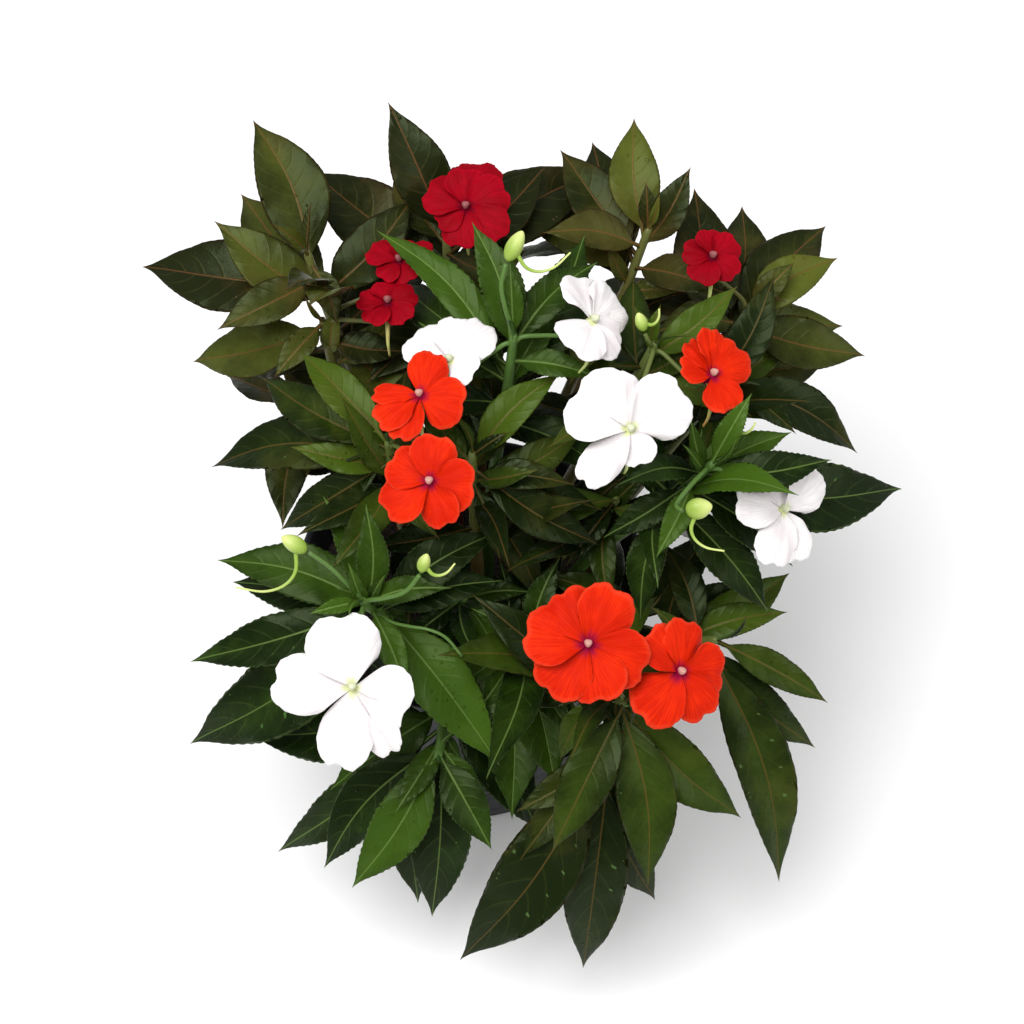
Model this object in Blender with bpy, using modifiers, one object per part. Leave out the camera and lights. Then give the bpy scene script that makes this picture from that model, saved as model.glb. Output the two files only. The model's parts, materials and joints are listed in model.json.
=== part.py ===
"""Busy lizzie: white, orange and crimson New Guinea impatiens growing together in one round plastic pot.

The part stands on Z = 0 with the pot's axis on Z, and its front is towards -Y.
Every leafy stem stands in its own hole in the soil. Stems, leaves and flower stalks of one stem are one solid,
each open flower is another, and so is each bud.

Places on the plant are written as they are seen by an eye that looks down on the front of it: across and down a
square picture 1024 wide, and then millimetres towards the eye. seen() turns such a place into metres.
"""

import math

import bmesh
import bpy
import numpy as np
from mathutils import Matrix, Vector
from mathutils.bvhtree import BVHTree

MM = 0.001

# The pot, turned round Z, and the soil in it
POT_HEIGHT = 140 * MM
RIM_RADIUS = 90 * MM
FOOT_RADIUS = 64 * MM
POT_WALL = 2.2 * MM
POT_FLOOR = 3 * MM
RIM_BAND = 16 * MM
RIM_LIP = 3.2 * MM
POT_SIDES = 24
DRAIN_HOLES = 5
DRAIN_RADIUS = 5 * MM
DRAIN_RING = 38 * MM
SOIL_TOP = 124 * MM
SOIL_GAP = 0.4 * MM
SOIL_DOME = 4 * MM

# The stems
STEM_RADIUS = 3.6 * MM
STEM_TIP_RADIUS = 2.1 * MM
STALK_RADIUS = 1.0 * MM
STEM_DEPTH = 24 * MM
STEM_GAP = 1.0 * MM
STEM_ARCH = 42 * MM
NODE_STEP = 5 * MM

# The leaves and petals
LEAF_THICK = 0.7 * MM
PETAL_THICK = 0.65 * MM
PETIOLE_SHARE = 0.1
PETIOLE_HALF = 1.3 * MM
CLEARANCE = 0.85 * MM
LOWEST = 9 * MM
FALL = 0.30
# Where a blade has its points, as shares of its length, for leaves up to that long
STATIONS = {72 * MM: (0.0, 0.28, 0.64, 1.0), 1.0: (0.0, 0.18, 0.44, 0.73, 1.0)}
# The throat and the knob of anthers in front of it: how far before the flower's middle, and radius, in mm
THROAT = ((-7, 1.2), (-3, 2.8), (1.6, 3.0), (4.0, 2.4), (5.4, 1.0))
PETAL_TURN = math.radians(128)
PETAL_ROWS = (0.06, 0.56, 1.0)
PETAL_COLUMNS = (-1.0, -0.5, 0.0, 0.5, 1.0)

# The eye that the places below are written for
EYE_PITCH = math.radians(50)
EYE_DISTANCE = 1050 * MM
PICTURE_MIDDLE = 512
PICTURE_SCALE = 0.5 * MM
AIM = np.array([21, 0, 185]) * MM
SEEN_RIGHT = np.array([1.0, 0.0, 0.0])
SEEN_UP = np.array([0.0, math.sin(EYE_PITCH), math.cos(EYE_PITCH)])
SEEN_NEAR = np.array([0.0, -math.cos(EYE_PITCH), math.sin(EYE_PITCH)])
WORLD_UP = np.array([0.0, 0.0, 1.0])
GOLDEN_ANGLE = math.pi * (3 - math.sqrt(5))

# What each kind of plant has: leaf width over length, how far a leaf bends, its keel, and its colours
KINDS = {
    "white": {"ratio": 0.34, "bend": 42, "keel": 14, "leaf": (0.045, 0.125, 0.028), "petal": (0.86, 0.85, 0.84)},
    "orange": {"ratio": 0.33, "bend": 46, "keel": 16, "leaf": (0.050, 0.115, 0.022), "petal": (0.90, 0.12, 0.02)},
    "crimson": {"ratio": 0.43, "bend": 38, "keel": 15, "leaf": (0.06, 0.095, 0.03), "petal": (0.55, 0.005, 0.03)},
}
BUD_COLOUR = (0.55, 0.66, 0.16)
POT_COLOUR = (0.055, 0.058, 0.065)
SOIL_COLOUR = (0.030, 0.020, 0.014)

# Stems seen from the front: kind, foot on the soil in mm, head as seen, and the tips of the leaves as seen, from
# the youngest to the oldest. A leaf's third number is how many mm its tip lies nearer the eye than its head, and
# its fourth, where it has one, is its width as a share of what its kind has. A bare stalk has shed its flower.
STEMS = {
    "front_orange": {
        "kind": "orange", "foot": (20, -44), "head": (628, 704, 92),
        "leaves": [(552, 852, 8), (648, 886, 4), (741, 818, -4), (700, 640, 10), (500, 690, -24)],
    },
    "front_low": {
        "young": 0, "kind": "orange", "foot": (32, -60), "head": (612, 768, 67),
        "leaves": [(583, 968, -24, 0.9), (460, 960, -12, 0.95), (655, 900, -26), (520, 860, 6)],
    },
    "lower_left": {
        "kind": "white", "foot": (-8, -60), "head": (438, 757, 66),
        "leaves": [(492, 850, 14, 1.2), (352, 888, 2), (324, 868, -14), (432, 917, -26),
                   (278, 852, -44, 0.7), (418, 903, -40), (248, 737, -34), (500, 730, 0)],
    },
    "front_left": {
        "kind": "white", "foot": (-30, -42), "head": (362, 600, 92),
        "leaves": [(309, 614, 12), (452, 588, 18), (366, 503, 14), (408, 694, 8), (190, 662, -22, 0.8),
                   (323, 496, -6), (502, 530, -8), (500, 766, -4), (217, 560, -34), (190, 744, -62),
                   (232, 582, -60)],
        "bare": [(402, 640, 92), (436, 612, 96), (462, 656, 88)],
    },
    "right_white": {
        "kind": "white", "foot": (46, -22), "head": (714, 462, 96),
        "leaves": [(752, 393, 14), (690, 418, 16), (832, 460, 6), (656, 558, 10), (603, 538, -6),
                   (902, 489, -30), (792, 432, -26), (768, 612, -26), (640, 620, -20)],
    },
    "right_low": {
        "kind": "orange", "foot": (52, -40), "head": (718, 640, 56),
        "leaves": [(828, 703, 2, 0.8), (779, 882, -10, 0.7), (815, 748, -16, 0.8), (650, 606, 18),
                   (788, 612, -16), (790, 573, -24), (690, 560, -6)],
    },
    "middle": {
        "young": 0, "kind": "white", "foot": (4, -52), "head": (538, 640, 52),
        "leaves": [(470, 608, 12), (560, 556, 4), (606, 600, 0), (452, 690, 12, 1.3), (556, 788, 12, 1.4),
                   (500, 560, -14), (512, 820, 20, 1.2), (470, 740, 10, 1.2)],
    },
    "left_centre": {
        "young": 0, "kind": "white", "foot": (-16, -26), "head": (464, 598, 44),
        "leaves": [(400, 648, 4), (532, 592, 4), (440, 515, 0), (506, 684, 4), (396, 560, -8),
                   (436, 700, 0)],
    },
    "right_centre": {
        "young": 0, "kind": "orange", "foot": (28, -22), "head": (618, 498, 44),
        "leaves": [(566, 566, 4), (668, 556, 0), (610, 606, 6), (552, 480, 2), (640, 430, -6),
                   (690, 490, -6)],
    },
    "left_mid": {
        "kind": "orange", "foot": (-30, -14), "head": (388, 440, 84),
        "leaves": [(300, 352, -4), (262, 378, -22), (212, 467, -26), (281, 530, -22), (290, 447, 2),
                   (440, 540, 2), (340, 395, 12)],
    },
    "centre": {
        "kind": "orange", "foot": (4, -26), "head": (472, 452, 86),
        "leaves": [(508, 432, 10), (562, 372, 14), (598, 545, -8), (575, 485, 4), (500, 560, -8),
                   (585, 430, -12), (540, 600, -24), (430, 360, -16), (620, 500, -22)],
    },
    "top_white": {
        "kind": "white", "foot": (8, 2), "head": (514, 334, 100),
        "leaves": [(510, 262, 16), (598, 262, 4), (472, 222, 6), (600, 378, 6), (396, 283, -10),
                   (376, 230, -18, 0.6), (418, 322, -4), (560, 300, -22), (585, 235, -38), (545, 400, -18)],
    },
    "right_orange": {
        "kind": "orange", "foot": (36, 8), "head": (656, 342, 84),
        "leaves": [(632, 305, 14), (661, 304, 14), (738, 286, 16), (608, 366, 6), (655, 420, -8),
                   (715, 330, -4), (690, 425, -14), (580, 400, -30)],
    },
    "right_edge": {
        "kind": "orange", "foot": (62, 0), "head": (726, 372, 56),
        "leaves": [(796, 434, 4), (857, 453, -14), (765, 420, 0), (640, 455, -12), (790, 350, -24)],
    },
    "back_left": {
        "kind": "crimson", "foot": (-36, 28), "head": (306, 250, 58),
        "leaves": [(272, 224, 10), (338, 326, 10), (253, 120, 2), (217, 330, 0), (142, 267, -10),
                   (415, 197, 0), (214, 221, -30), (241, 194, -44)],
    },
    "left_low": {
        "kind": "crimson", "foot": (-50, 8), "head": (322, 318, 48),
        "leaves": [(274, 378, 18), (193, 362, -16), (410, 352, 8), (246, 372, -34), (338, 304, 8),
                   (400, 318, -10)],
    },
    "back_top": {
        "kind": "crimson", "foot": (-8, 36), "head": (446, 232, 44),
        "leaves": [(388, 102, 4), (394, 168, -14), (545, 168, 0), (601, 172, -22), (309, 171, -22),
                   (384, 262, -2), (420, 300, 0), (528, 250, -14)],
    },
    "back_right": {
        "kind": "crimson", "foot": (36, 38), "head": (650, 226, 36),
        "leaves": [(646, 182, 14), (634, 118, 6), (691, 167, 6), (560, 150, -6), (592, 142, -24),
                   (512, 212, -8), (606, 243, 6), (680, 292, 0)],
    },
    "right_top": {
        "kind": "crimson", "foot": (54, 22), "head": (752, 306, 34),
        "leaves": [(795, 262, 12), (838, 258, 2), (865, 356, -6), (826, 226, -14), (694, 188, -10),
                   (742, 206, -20), (843, 326, -26), (690, 300, 0), (828, 362, -30)],
    },
}

# Stems behind, which the eye hardly sees: kind, foot in mm, head in mm, how many leaves, their length in mm
REAR_STEMS = {
    "rear_far_left": {
        "kind": "crimson", "foot": (-56, 30), "head": (-86, 60, 206),
        "leaves": 4, "length": 70, "young": 0, "lower": 0,
    },
    "rear_left": {
        "kind": "crimson", "foot": (-30, 54), "head": (-48, 104, 214),
        "leaves": 4, "length": 80, "young": 0, "lower": 0,
    },
    "rear_middle": {
        "kind": "orange", "foot": (4, 62), "head": (8, 122, 212),
        "leaves": 4, "length": 82, "young": 0, "lower": 0,
    },
    "rear_right": {
        "kind": "crimson", "foot": (34, 56), "head": (64, 108, 214),
        "leaves": 4, "length": 80, "young": 0, "lower": 0,
    },
    "rear_far_right": {
        "kind": "orange", "foot": (56, 36), "head": (106, 72, 206),
        "leaves": 4, "length": 74, "young": 0, "lower": 0,
    },
}
REAR_NEAREST_TURN = math.radians(150)

# Older leaves on every stem: how many, how long, and the oval of the picture that their tips stay in
LOWER_LEAVES = 2
LOWER_LENGTH = 62 * MM
FILLED = (530, 450, 285, 320)

# Open flowers: kind, the stem that bears it, its middle as seen, how it faces (degrees right, degrees up), and its
# petals as (direction in degrees, length in mm, width in mm). Directions run anticlockwise from the right.
BLOOMS = {
    "front": {
        "kind": "orange", "stem": "front_orange", "at": (588, 645, 124), "faces": (0, 8),
        "petals": [(62, 30, 26), (112, 28, 24), (166, 30, 28), (228, 29, 27), (285, 27, 27), (338, 29, 27)],
    },
    "front_right": {
        "kind": "orange", "stem": "front_orange", "at": (679, 672, 112), "faces": (24, 4),
        "petals": [(80, 25, 23), (128, 25, 22), (228, 29, 26), (358, 24, 27), (305, 26, 22)],
    },
    "left": {
        "kind": "orange", "stem": "left_mid", "at": (430, 482, 124), "faces": (-8, 4),
        "petals": [(84, 22, 21), (150, 22, 21), (212, 25, 22), (292, 22, 18), (352, 21, 24)],
    },
    "upper_left": {
        "kind": "orange", "stem": "left_mid", "at": (420, 396, 108), "faces": (-10, 18),
        "petals": [(78, 23, 18), (178, 23, 11), (214, 24, 19), (248, 24, 17), (345, 22, 24)],
    },
    "right": {
        "kind": "orange", "stem": "right_orange", "at": (712, 376, 96), "faces": (22, 26),
        "petals": [(38, 25, 24), (112, 21, 14), (164, 17, 17), (284, 20, 19), (78, 26, 17)],
    },
    "white_front": {
        "kind": "white", "stem": "front_left", "at": (353, 688, 112), "faces": (-4, 6),
        "petals": [(104, 35, 34), (176, 38, 28), (262, 38, 26), (338, 28, 34), (302, 36, 18)],
    },
    "white_centre": {
        "kind": "white", "stem": "right_orange", "at": (630, 430, 132), "faces": (6, 6),
        "petals": [(142, 31, 38), (104, 27, 22), (36, 31, 30), (228, 33, 18), (290, 17, 17)],
    },
    "white_right": {
        "kind": "white", "stem": "right_white", "at": (783, 510, 84), "faces": (26, 4),
        "petals": [(166, 27, 25), (112, 22, 15), (42, 28, 25), (252, 28, 20), (286, 26, 20)],
    },
    "white_upper": {
        "kind": "white", "stem": "top_white", "at": (592, 322, 104), "faces": (40, 30),
        "petals": [(96, 24, 30), (34, 27, 26), (222, 24, 25), (264, 20, 26), (340, 18, 20)],
    },
    "white_upper_left": {
        "kind": "white", "stem": "top_white", "at": (450, 362, 98), "faces": (-14, 28),
        "petals": [(142, 25, 26), (86, 24, 20), (52, 26, 22), (210, 15, 18), (330, 15, 18)],
    },
    "crimson_upper": {
        "kind": "crimson", "stem": "back_top", "at": (466, 208, 74), "faces": (-4, 12),
        "petals": [(150, 22, 22), (88, 20, 21), (28, 22, 21), (318, 24, 22), (262, 20, 20), (208, 16, 16)],
    },
    "crimson_top": {
        "kind": "crimson", "stem": "back_top", "at": (474, 182, 46), "faces": (4, 44),
        "petals": [(140, 15, 15), (92, 14, 15), (38, 16, 14), (190, 12, 12), (350, 14, 13)],
    },
    "crimson_left": {
        "kind": "crimson", "stem": "left_low", "at": (400, 262, 62), "faces": (-12, 28),
        "petals": [(150, 19, 17), (84, 13, 14), (24, 18, 14), (300, 13, 14), (228, 13, 14)],
    },
    "crimson_low": {
        "kind": "crimson", "stem": "left_low", "at": (388, 304, 72), "faces": (-6, 34),
        "petals": [(160, 16, 15), (96, 14, 16), (30, 15, 14), (318, 15, 14), (236, 15, 15)],
    },
    "crimson_right": {
        "kind": "crimson", "stem": "right_top", "at": (712, 258, 62), "faces": (8, 18),
        "petals": [(160, 15, 15), (92, 15, 15), (36, 16, 15), (322, 15, 14), (238, 16, 16)],
    },
}

# Buds: the stem that bears it, its middle as seen, where it points as seen (degrees), its length and width in mm,
# and how long its slender spur is in mm
BUDS = {
    "bud_top": {"stem": "top_white", "at": (515, 246, 118), "points": 62, "size": (15, 8), "spur": 26},
    "bud_left": {"stem": "front_left", "at": (294, 544, 108), "points": 150, "size": (13, 8), "spur": 34, "curl": -1},
    "bud_middle": {"stem": "front_left", "at": (424, 563, 118), "points": 70, "size": (9, 6), "spur": 14},
    "bud_right": {"stem": "right_white", "at": (699, 508, 122), "points": 10, "size": (12, 10), "spur": 22},
    "bud_edge": {"stem": "right_white", "at": (734, 424, 98), "points": 80, "size": (12, 5), "spur": 10},
    "bud_crimson": {"stem": "right_orange", "at": (641, 322, 92), "points": 110, "size": (9, 6), "spur": 10},
}


def unit(v):
    return v / np.linalg.norm(v)


def seen(across, down, near):
    """The place that the eye sees at that point of the picture, near millimetres towards it."""
    shrink = 1 - near * MM / EYE_DISTANCE
    right = (across - PICTURE_MIDDLE) * PICTURE_SCALE * shrink
    up = (PICTURE_MIDDLE - down) * PICTURE_SCALE * shrink
    return AIM + right * SEEN_RIGHT + up * SEEN_UP + near * MM * SEEN_NEAR


def bezier(points, count):
    """Points along a cubic Bezier curve through its four control points."""
    t = np.linspace(0, 1, count)[:, None]
    a, b, c, d = points
    return a * (1 - t) ** 3 + 3 * b * t * (1 - t) ** 2 + 3 * c * t**2 * (1 - t) + d * t**3


def stem_path(foot, head):
    """A stem's centre line: straight up out of its hole, then bending over to its head."""
    x, y = np.array(foot) * MM
    ground = np.array([x, y, SOIL_TOP + 6 * MM])
    lean = unit(np.array([head[0] - x, head[1] - y, 0.9 * (head[2] - ground[2]) + STEM_ARCH]))
    rise = np.array([0, 0, max(0.4 * (head[2] - ground[2]), STEM_ARCH)])
    reach = np.linalg.norm(head - ground)
    curve = bezier((ground, ground + rise, head - lean * 0.35 * reach, head), 6)
    return np.vstack([[x, y, SOIL_TOP - STEM_DEPTH], curve])


def back_along(path, distance):
    """The point that lies that far back from the end of a path, measured along it."""
    for end, start in zip(path[:0:-1], path[-2::-1]):
        step = np.linalg.norm(end - start)
        if distance <= step:
            return end + (start - end) * distance / step
        distance -= step
    return path[0]


def leaf_shape(share):
    """Half the width of a leaf along its length, 1 at its widest: an ellipse drawn out to a long tip."""
    s = np.clip((share - PETIOLE_SHARE) / (1 - PETIOLE_SHARE), 0, 1)
    peak = 0.9 / (0.9 + 1.35)
    return (s / peak) ** 0.9 * ((1 - s) / (1 - peak)) ** 1.35


def leaf_grid(leaf, stations, columns=(-1.0, 0.0, 1.0)):
    """Points and normals of a leaf's blade. Its rib is an arc from base to tip, and each half rises from it."""
    base, tip = leaf["base"], leaf["tip"]
    ahead = tip - base
    length = np.linalg.norm(ahead)
    ahead = ahead / length
    above = unit(leaf["face"] - (leaf["face"] @ ahead) * ahead)
    side = np.cross(above, ahead)
    bend, keel = math.radians(leaf["bend"]), math.radians(leaf["keel"])
    s = np.array(stations)[:, None, None]
    t = np.array(columns)[None, :, None]
    angle = bend * (0.5 - s)
    rib = ahead * length * (0.5 - np.sin(angle) / math.sin(bend / 2) / 2)
    rib = rib + above * length * (np.cos(angle) - math.cos(bend / 2)) / (2 * math.sin(bend / 2))
    normal = above * np.cos(angle) - ahead * np.sin(angle)
    half = np.maximum(leaf["half"] * leaf_shape(s), np.where(s < 0.5, PETIOLE_HALF, 0))
    wave = leaf["wave"] * np.sin(2.6 * 2 * math.pi * s + 1.9 * t + leaf["phase"]) * t**2 * leaf_shape(s)
    grid = base + rib + side * t * half * math.cos(keel) + normal * (np.abs(t) * half * math.sin(keel) + wave)
    return grid, np.broadcast_to(normal, grid.shape)


def petal_outline(t, length, width, phase=0.0):
    """A petal's margin from side to side: most of an ellipse, with a shallow notch at its end."""
    turn = t * PETAL_TURN
    notch = 0.09 * np.exp(-(((t - 0.06 * math.sin(phase)) / 0.13) ** 2))
    return length * (0.57 + 0.43 * np.cos(turn) - notch), width / 2 * np.sin(turn)


def petal_lift(q, t, length, width):
    """How far a petal stands before its flower's middle: dished, rolled back at its rim, and turned like a vane."""
    return length * (0.20 * q - 0.20 * q**3) + 0.13 * width * t * q


def petal_grid(bloom, petal, rows, columns):
    """Points of one petal, whose every row is its margin drawn in towards the throat."""
    direction, length, width = math.radians(petal[0]), petal[1] * MM, petal[2] * MM
    ahead = bloom["right"] * math.cos(direction) + bloom["up"] * math.sin(direction)
    side = bloom["up"] * math.cos(direction) - bloom["right"] * math.sin(direction)
    q = np.array(rows)[:, None, None]
    t = np.array(columns)[None, :, None]
    along, across = petal_outline(t, length, width)
    lift = petal_lift(q, t, length, width)
    return bloom["centre"] + ahead * along * q + side * across * q + bloom["facing"] * lift


def grid_triangles(rows, columns):
    """Triangles over a grid of points."""
    corners = [(i * columns + j, i * columns + j + 1) for i in range(rows - 1) for j in range(columns - 1)]
    return [f for a, b in corners for f in ((a, b, a + columns), (b, b + columns, a + columns))]


def leaf_sheet(leaf):
    """The leaf's blade as points and triangles: left edge, rib and right edge, drawn together at both ends."""
    length = np.linalg.norm(leaf["tip"] - leaf["base"])
    stations = next(places for longest, places in STATIONS.items() if length <= longest)
    grid, _ = leaf_grid(leaf, stations)
    points = np.vstack([grid[0, 1:2], grid[1:-1].reshape(-1, 3), grid[-1, 1:2]])
    last = len(points) - 1
    faces = [(0, 1, 2), (0, 2, 3), (last, last - 1, last - 2), (last, last - 2, last - 3)]
    for k in range(1, last - 3, 3):
        faces += [(k, k + 3, k + 1), (k + 1, k + 3, k + 4), (k + 1, k + 4, k + 5), (k + 1, k + 5, k + 2)]
    return points, faces


def petal_sheet(bloom, petal):
    """The petal as points and triangles: one point in the throat, three across its middle, five at its margin."""
    throat = petal_grid(bloom, petal, PETAL_ROWS[:1], (0.0,))[0]
    middle = petal_grid(bloom, petal, PETAL_ROWS[1:2], (-1.0, 0.0, 1.0))[0]
    margin = petal_grid(bloom, petal, PETAL_ROWS[2:], PETAL_COLUMNS)[0]
    faces = [(0, 1, 2), (0, 2, 3), (1, 4, 5), (1, 5, 2), (2, 5, 6), (2, 6, 7), (2, 7, 3), (3, 7, 8)]
    return np.vstack([throat, middle, margin]), faces


class Room:
    """What has been placed so far, for finding a leaf's place clear of the rest."""

    def __init__(self):
        self.whole, self.outer = [], []

    @staticmethod
    def tree(points, faces):
        return BVHTree.FromPolygons([tuple(p) for p in points], faces)

    def add(self, owner, whole, outer=None):
        """Keeps a piece, and the outer part of it that its own stem's leaves stay clear of."""
        self.whole.append((owner, *whole))
        if outer:
            self.outer.append((owner, *outer))

    @staticmethod
    def meets(pieces, tree, box):
        """Whether it meets any of those pieces."""
        return any(np.all(box[0] <= high) and np.all(low <= box[1]) and placed.overlap(tree)
                   for _, placed, (low, high) in pieces)

    def others(self, owner):
        return [p for p in self.whole if p[0] != owner]

    def own(self, owner):
        return [p for p in self.outer if p[0] == owner]


def bounds(points):
    return points.min(0), points.max(0)


def guard_leaf(leaf, first=0.0):
    """A leaf grown on both faces by the clearance, as a search tree and its box."""
    stations = np.linspace(first, 1, 8)
    wide = dict(leaf, half=leaf["half"] * 1.05 + 0.3 * MM)
    grid, normal = leaf_grid(wide, stations)
    points = np.vstack([(grid + normal * k * CLEARANCE).reshape(-1, 3) for k in (-1, 0, 1)])
    faces = grid_triangles(len(stations), 3)
    every = [tuple(k + layer * grid[..., 0].size for k in f) for layer in range(3) for f in faces]
    return Room.tree(points, every), bounds(points)


def guard_petals(bloom):
    """A flower's petals grown on both faces, as a search tree and its box."""
    points, faces = [], []
    for petal in bloom["petals"]:
        grid = petal_grid(bloom, petal, (0.1, 0.5, 0.8, 1.03), PETAL_COLUMNS)
        for k in (-1, 0, 1):
            shift = sum(len(p) for p in points)
            faces += [tuple(i + shift for i in f) for f in grid_triangles(4, len(PETAL_COLUMNS))]
            points.append((grid + bloom["facing"] * k * CLEARANCE).reshape(-1, 3))
    points = np.vstack(points)
    return Room.tree(points, faces), bounds(points)


def guard_tube(path, radius, sides=6):
    """A tube round a path, as a search tree and its box."""
    ahead = np.gradient(path, axis=0)
    ahead /= np.linalg.norm(ahead, axis=1)[:, None]
    one = np.cross(ahead, (0.31, 0.52, 0.11))
    one /= np.linalg.norm(one, axis=1)[:, None]
    two = np.cross(ahead, one)
    turn = np.arange(sides + 1) * 2 * math.pi / sides
    ring = one[:, None] * np.cos(turn)[None, :, None] + two[:, None] * np.sin(turn)[None, :, None]
    points = (path[:, None] + ring * radius).reshape(-1, 3)
    return Room.tree(points, grid_triangles(len(path), sides + 1)), bounds(points)


def lay_out_blooms():
    """Each flower's middle, the way it faces, and the axes that its petals are set out on."""
    for bloom in BLOOMS.values():
        turn, tilt = (math.tan(math.radians(a)) for a in bloom["faces"])
        bloom["centre"] = seen(*bloom["at"])
        bloom["facing"] = unit(SEEN_NEAR + turn * SEEN_RIGHT + tilt * SEEN_UP)
        bloom["right"] = unit(np.cross(SEEN_UP, bloom["facing"]))
        bloom["up"] = np.cross(bloom["facing"], bloom["right"])
        bloom["back"] = bloom["centre"] - bloom["facing"] * 7 * MM


def spur_path(bloom, turn):
    """The slender spur: out of the throat, down (or turned from that), and curling back behind the flower."""
    start = bloom["centre"] - bloom["facing"] * 4 * MM
    across = math.sin(turn) * bloom["right"]
    down = unit(math.cos(turn) * -bloom["up"] + across + 0.1 * bloom["facing"])
    away = -bloom["facing"]
    return bezier((start, start + down * 8 * MM, start + (down * 17 + away * 5) * MM,
                   start + (down * 17 + away * 15) * MM), 5)


def place_spurs(room):
    """Turns each flower's spur until it is clear of the stalks and of the other flowers."""
    for name, bloom in BLOOMS.items():
        for turn in np.radians((0, 35, -35, 70, -70, 105, -105, 140, -140, 180)):
            bloom["spur"] = spur_path(bloom, turn)
            guard = guard_tube(bloom["spur"], 2.2 * MM)
            if not room.meets(room.others("flower " + name), *guard):
                break
        else:
            print("no clear place for the spur of", name)
        room.add("flower " + name, guard)


def lay_out_buds():
    """Each bud's middle, the way it points, and its spur."""
    for bud in BUDS.values():
        angle = math.radians(bud["points"])
        bud["centre"] = seen(*bud["at"])
        bud["axis"] = unit(SEEN_RIGHT * math.cos(angle) + SEEN_UP * math.sin(angle) + 0.25 * SEEN_NEAR)
        half = bud["size"][0] / 2 * MM
        bud["back"] = bud["centre"] - bud["axis"] * half
        side = unit(np.cross(bud["axis"], SEEN_NEAR)) * bud.get("curl", 1)
        start = bud["centre"] - bud["axis"] * half * 0.35 + side * bud["size"][1] * 0.3 * MM
        reach = bud["spur"] * MM
        steps = ((0, 0), (0.3, -0.3), (0.7, -0.1), (0.8, 0.45))
        bud["spur_path"] = bezier([start + side * reach * a + bud["axis"] * reach * b for a, b in steps], 5)


def stalk_path(stem, end, facing):
    """A flower stalk: out of the stem below its head, then round to the back of the flower."""
    start = back_along(stem["path"], 7 * MM)
    gap = end - facing * (STALK_RADIUS + 0.35 * MM)
    reach = np.linalg.norm(gap - start)
    return bezier((start, start + stem["lean"] * reach * 0.35, gap - facing * reach * 0.35, gap), 5)


def lay_out_stems():
    """Every stem's path and the flower stalks that it bears."""
    for name, stem in {**STEMS, **REAR_STEMS}.items():
        head = seen(*stem["head"]) if name in STEMS else np.array(stem["head"]) * MM
        stem["path"] = stem_path(stem["foot"], head)
        stem["tip"] = head
        stem["lean"] = unit(stem["path"][-1] - stem["path"][-2])
        stem["stalks"] = []
    for flower in (*BLOOMS.values(), *BUDS.values()):
        facing = flower["facing"] if "facing" in flower else flower["axis"]
        stem = STEMS[flower["stem"]]
        stem["stalks"].append(stalk_path(stem, flower["back"], facing))
    for stem in STEMS.values():
        if "bare" in stem:
            start = back_along(stem["path"], 22 * MM)
            stem["stalks"].append(bezier([start] + [seen(*point) for point in stem["bare"]], 6))


def seen_leaves(stem):
    """The leaves whose tips are written down, each from its place on the stem."""
    for i, (across, down, nearer, *share) in enumerate(stem["leaves"]):
        base = back_along(stem["path"], NODE_STEP * (i + 0.6))
        sight = stem["head"][2] + nearer
        reach = np.linalg.norm(seen(across, down, stem["head"][2]) - stem["tip"])
        sight -= FALL * reach / MM
        face = 0.62 * SEEN_NEAR + 0.38 * WORLD_UP
        width = share[0] if share else 1.0
        yield i, base, face, width, lambda shift, a=across, d=down, n=sight: seen(a, d, n + shift)


def ruled_leaves(stem):
    """The leaves of a stem at the back: a whorl that turns by the golden angle and hangs outwards."""
    out = unit(np.array([stem["tip"][0], stem["tip"][1], 0.0]))
    across = np.cross(WORLD_UP, out)
    for i in range(stem["leaves"]):
        base = back_along(stem["path"], NODE_STEP * (i + 0.6))
        turn = (i * GOLDEN_ANGLE + 0.7) % (2 * math.pi) - math.pi
        turn *= REAR_NEAREST_TURN / math.pi
        heading = out * math.cos(turn) + across * math.sin(turn)
        length = stem["length"] * MM * (0.78 + 0.06 * i)
        drop = -0.12 - 0.09 * i
        tip = base + unit(heading + WORLD_UP * drop) * length
        face = WORLD_UP + 0.35 * heading
        yield i, base, face, 1.0, lambda shift, p=tip: p + WORLD_UP * shift * MM


def seen_at(point):
    """Where the eye sees a point: across and down the picture."""
    offset = point - AIM
    scale = PICTURE_SCALE * (1 - offset @ SEEN_NEAR / EYE_DISTANCE)
    return PICTURE_MIDDLE + offset @ SEEN_RIGHT / scale, PICTURE_MIDDLE - offset @ SEEN_UP / scale


def lower_leaves(stem):
    """Older leaves lower down the stem, which spread out level and fill the plant's middle."""
    for i in range(stem.get("lower", LOWER_LEAVES)):
        base = back_along(stem["path"], (34 + 15 * i) * MM)
        turn = (i + 0.35) * 2.4 + stem["tip"][0] * 55 + stem["tip"][1] * 31
        heading = np.array([math.cos(turn), math.sin(turn), 0.0])
        tip = base + unit(heading + 0.18 * WORLD_UP) * LOWER_LENGTH * (1 + 0.08 * i)
        across, down = seen_at(tip)
        if ((across - FILLED[0]) / FILLED[2]) ** 2 + ((down - FILLED[1]) / FILLED[3]) ** 2 < 1:
            face = 0.7 * WORLD_UP + 0.3 * SEEN_NEAR
            yield 60 + i, base, face, 1.15, lambda shift, p=tip: p + WORLD_UP * shift * MM


def young_leaves(stem):
    """The small new leaves that close round a stem's end."""
    lean = stem["lean"]
    one = unit(np.cross(lean, (0.2, 0.1, 0.97)))
    two = np.cross(lean, one)
    for i in range(stem.get("young", 1)):
        turn = i * GOLDEN_ANGLE + stem["tip"][0] * 90
        spread = one * math.cos(turn) + two * math.sin(turn)
        base = back_along(stem["path"], 1.5 * MM)
        length = (24 + 5 * i) * MM
        tip = base + unit(lean + 0.55 * spread) * length
        yield 90 + i, base, unit(lean - 0.8 * spread), 0.8, lambda shift, p=tip, d=spread: p + d * shift * MM


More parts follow.
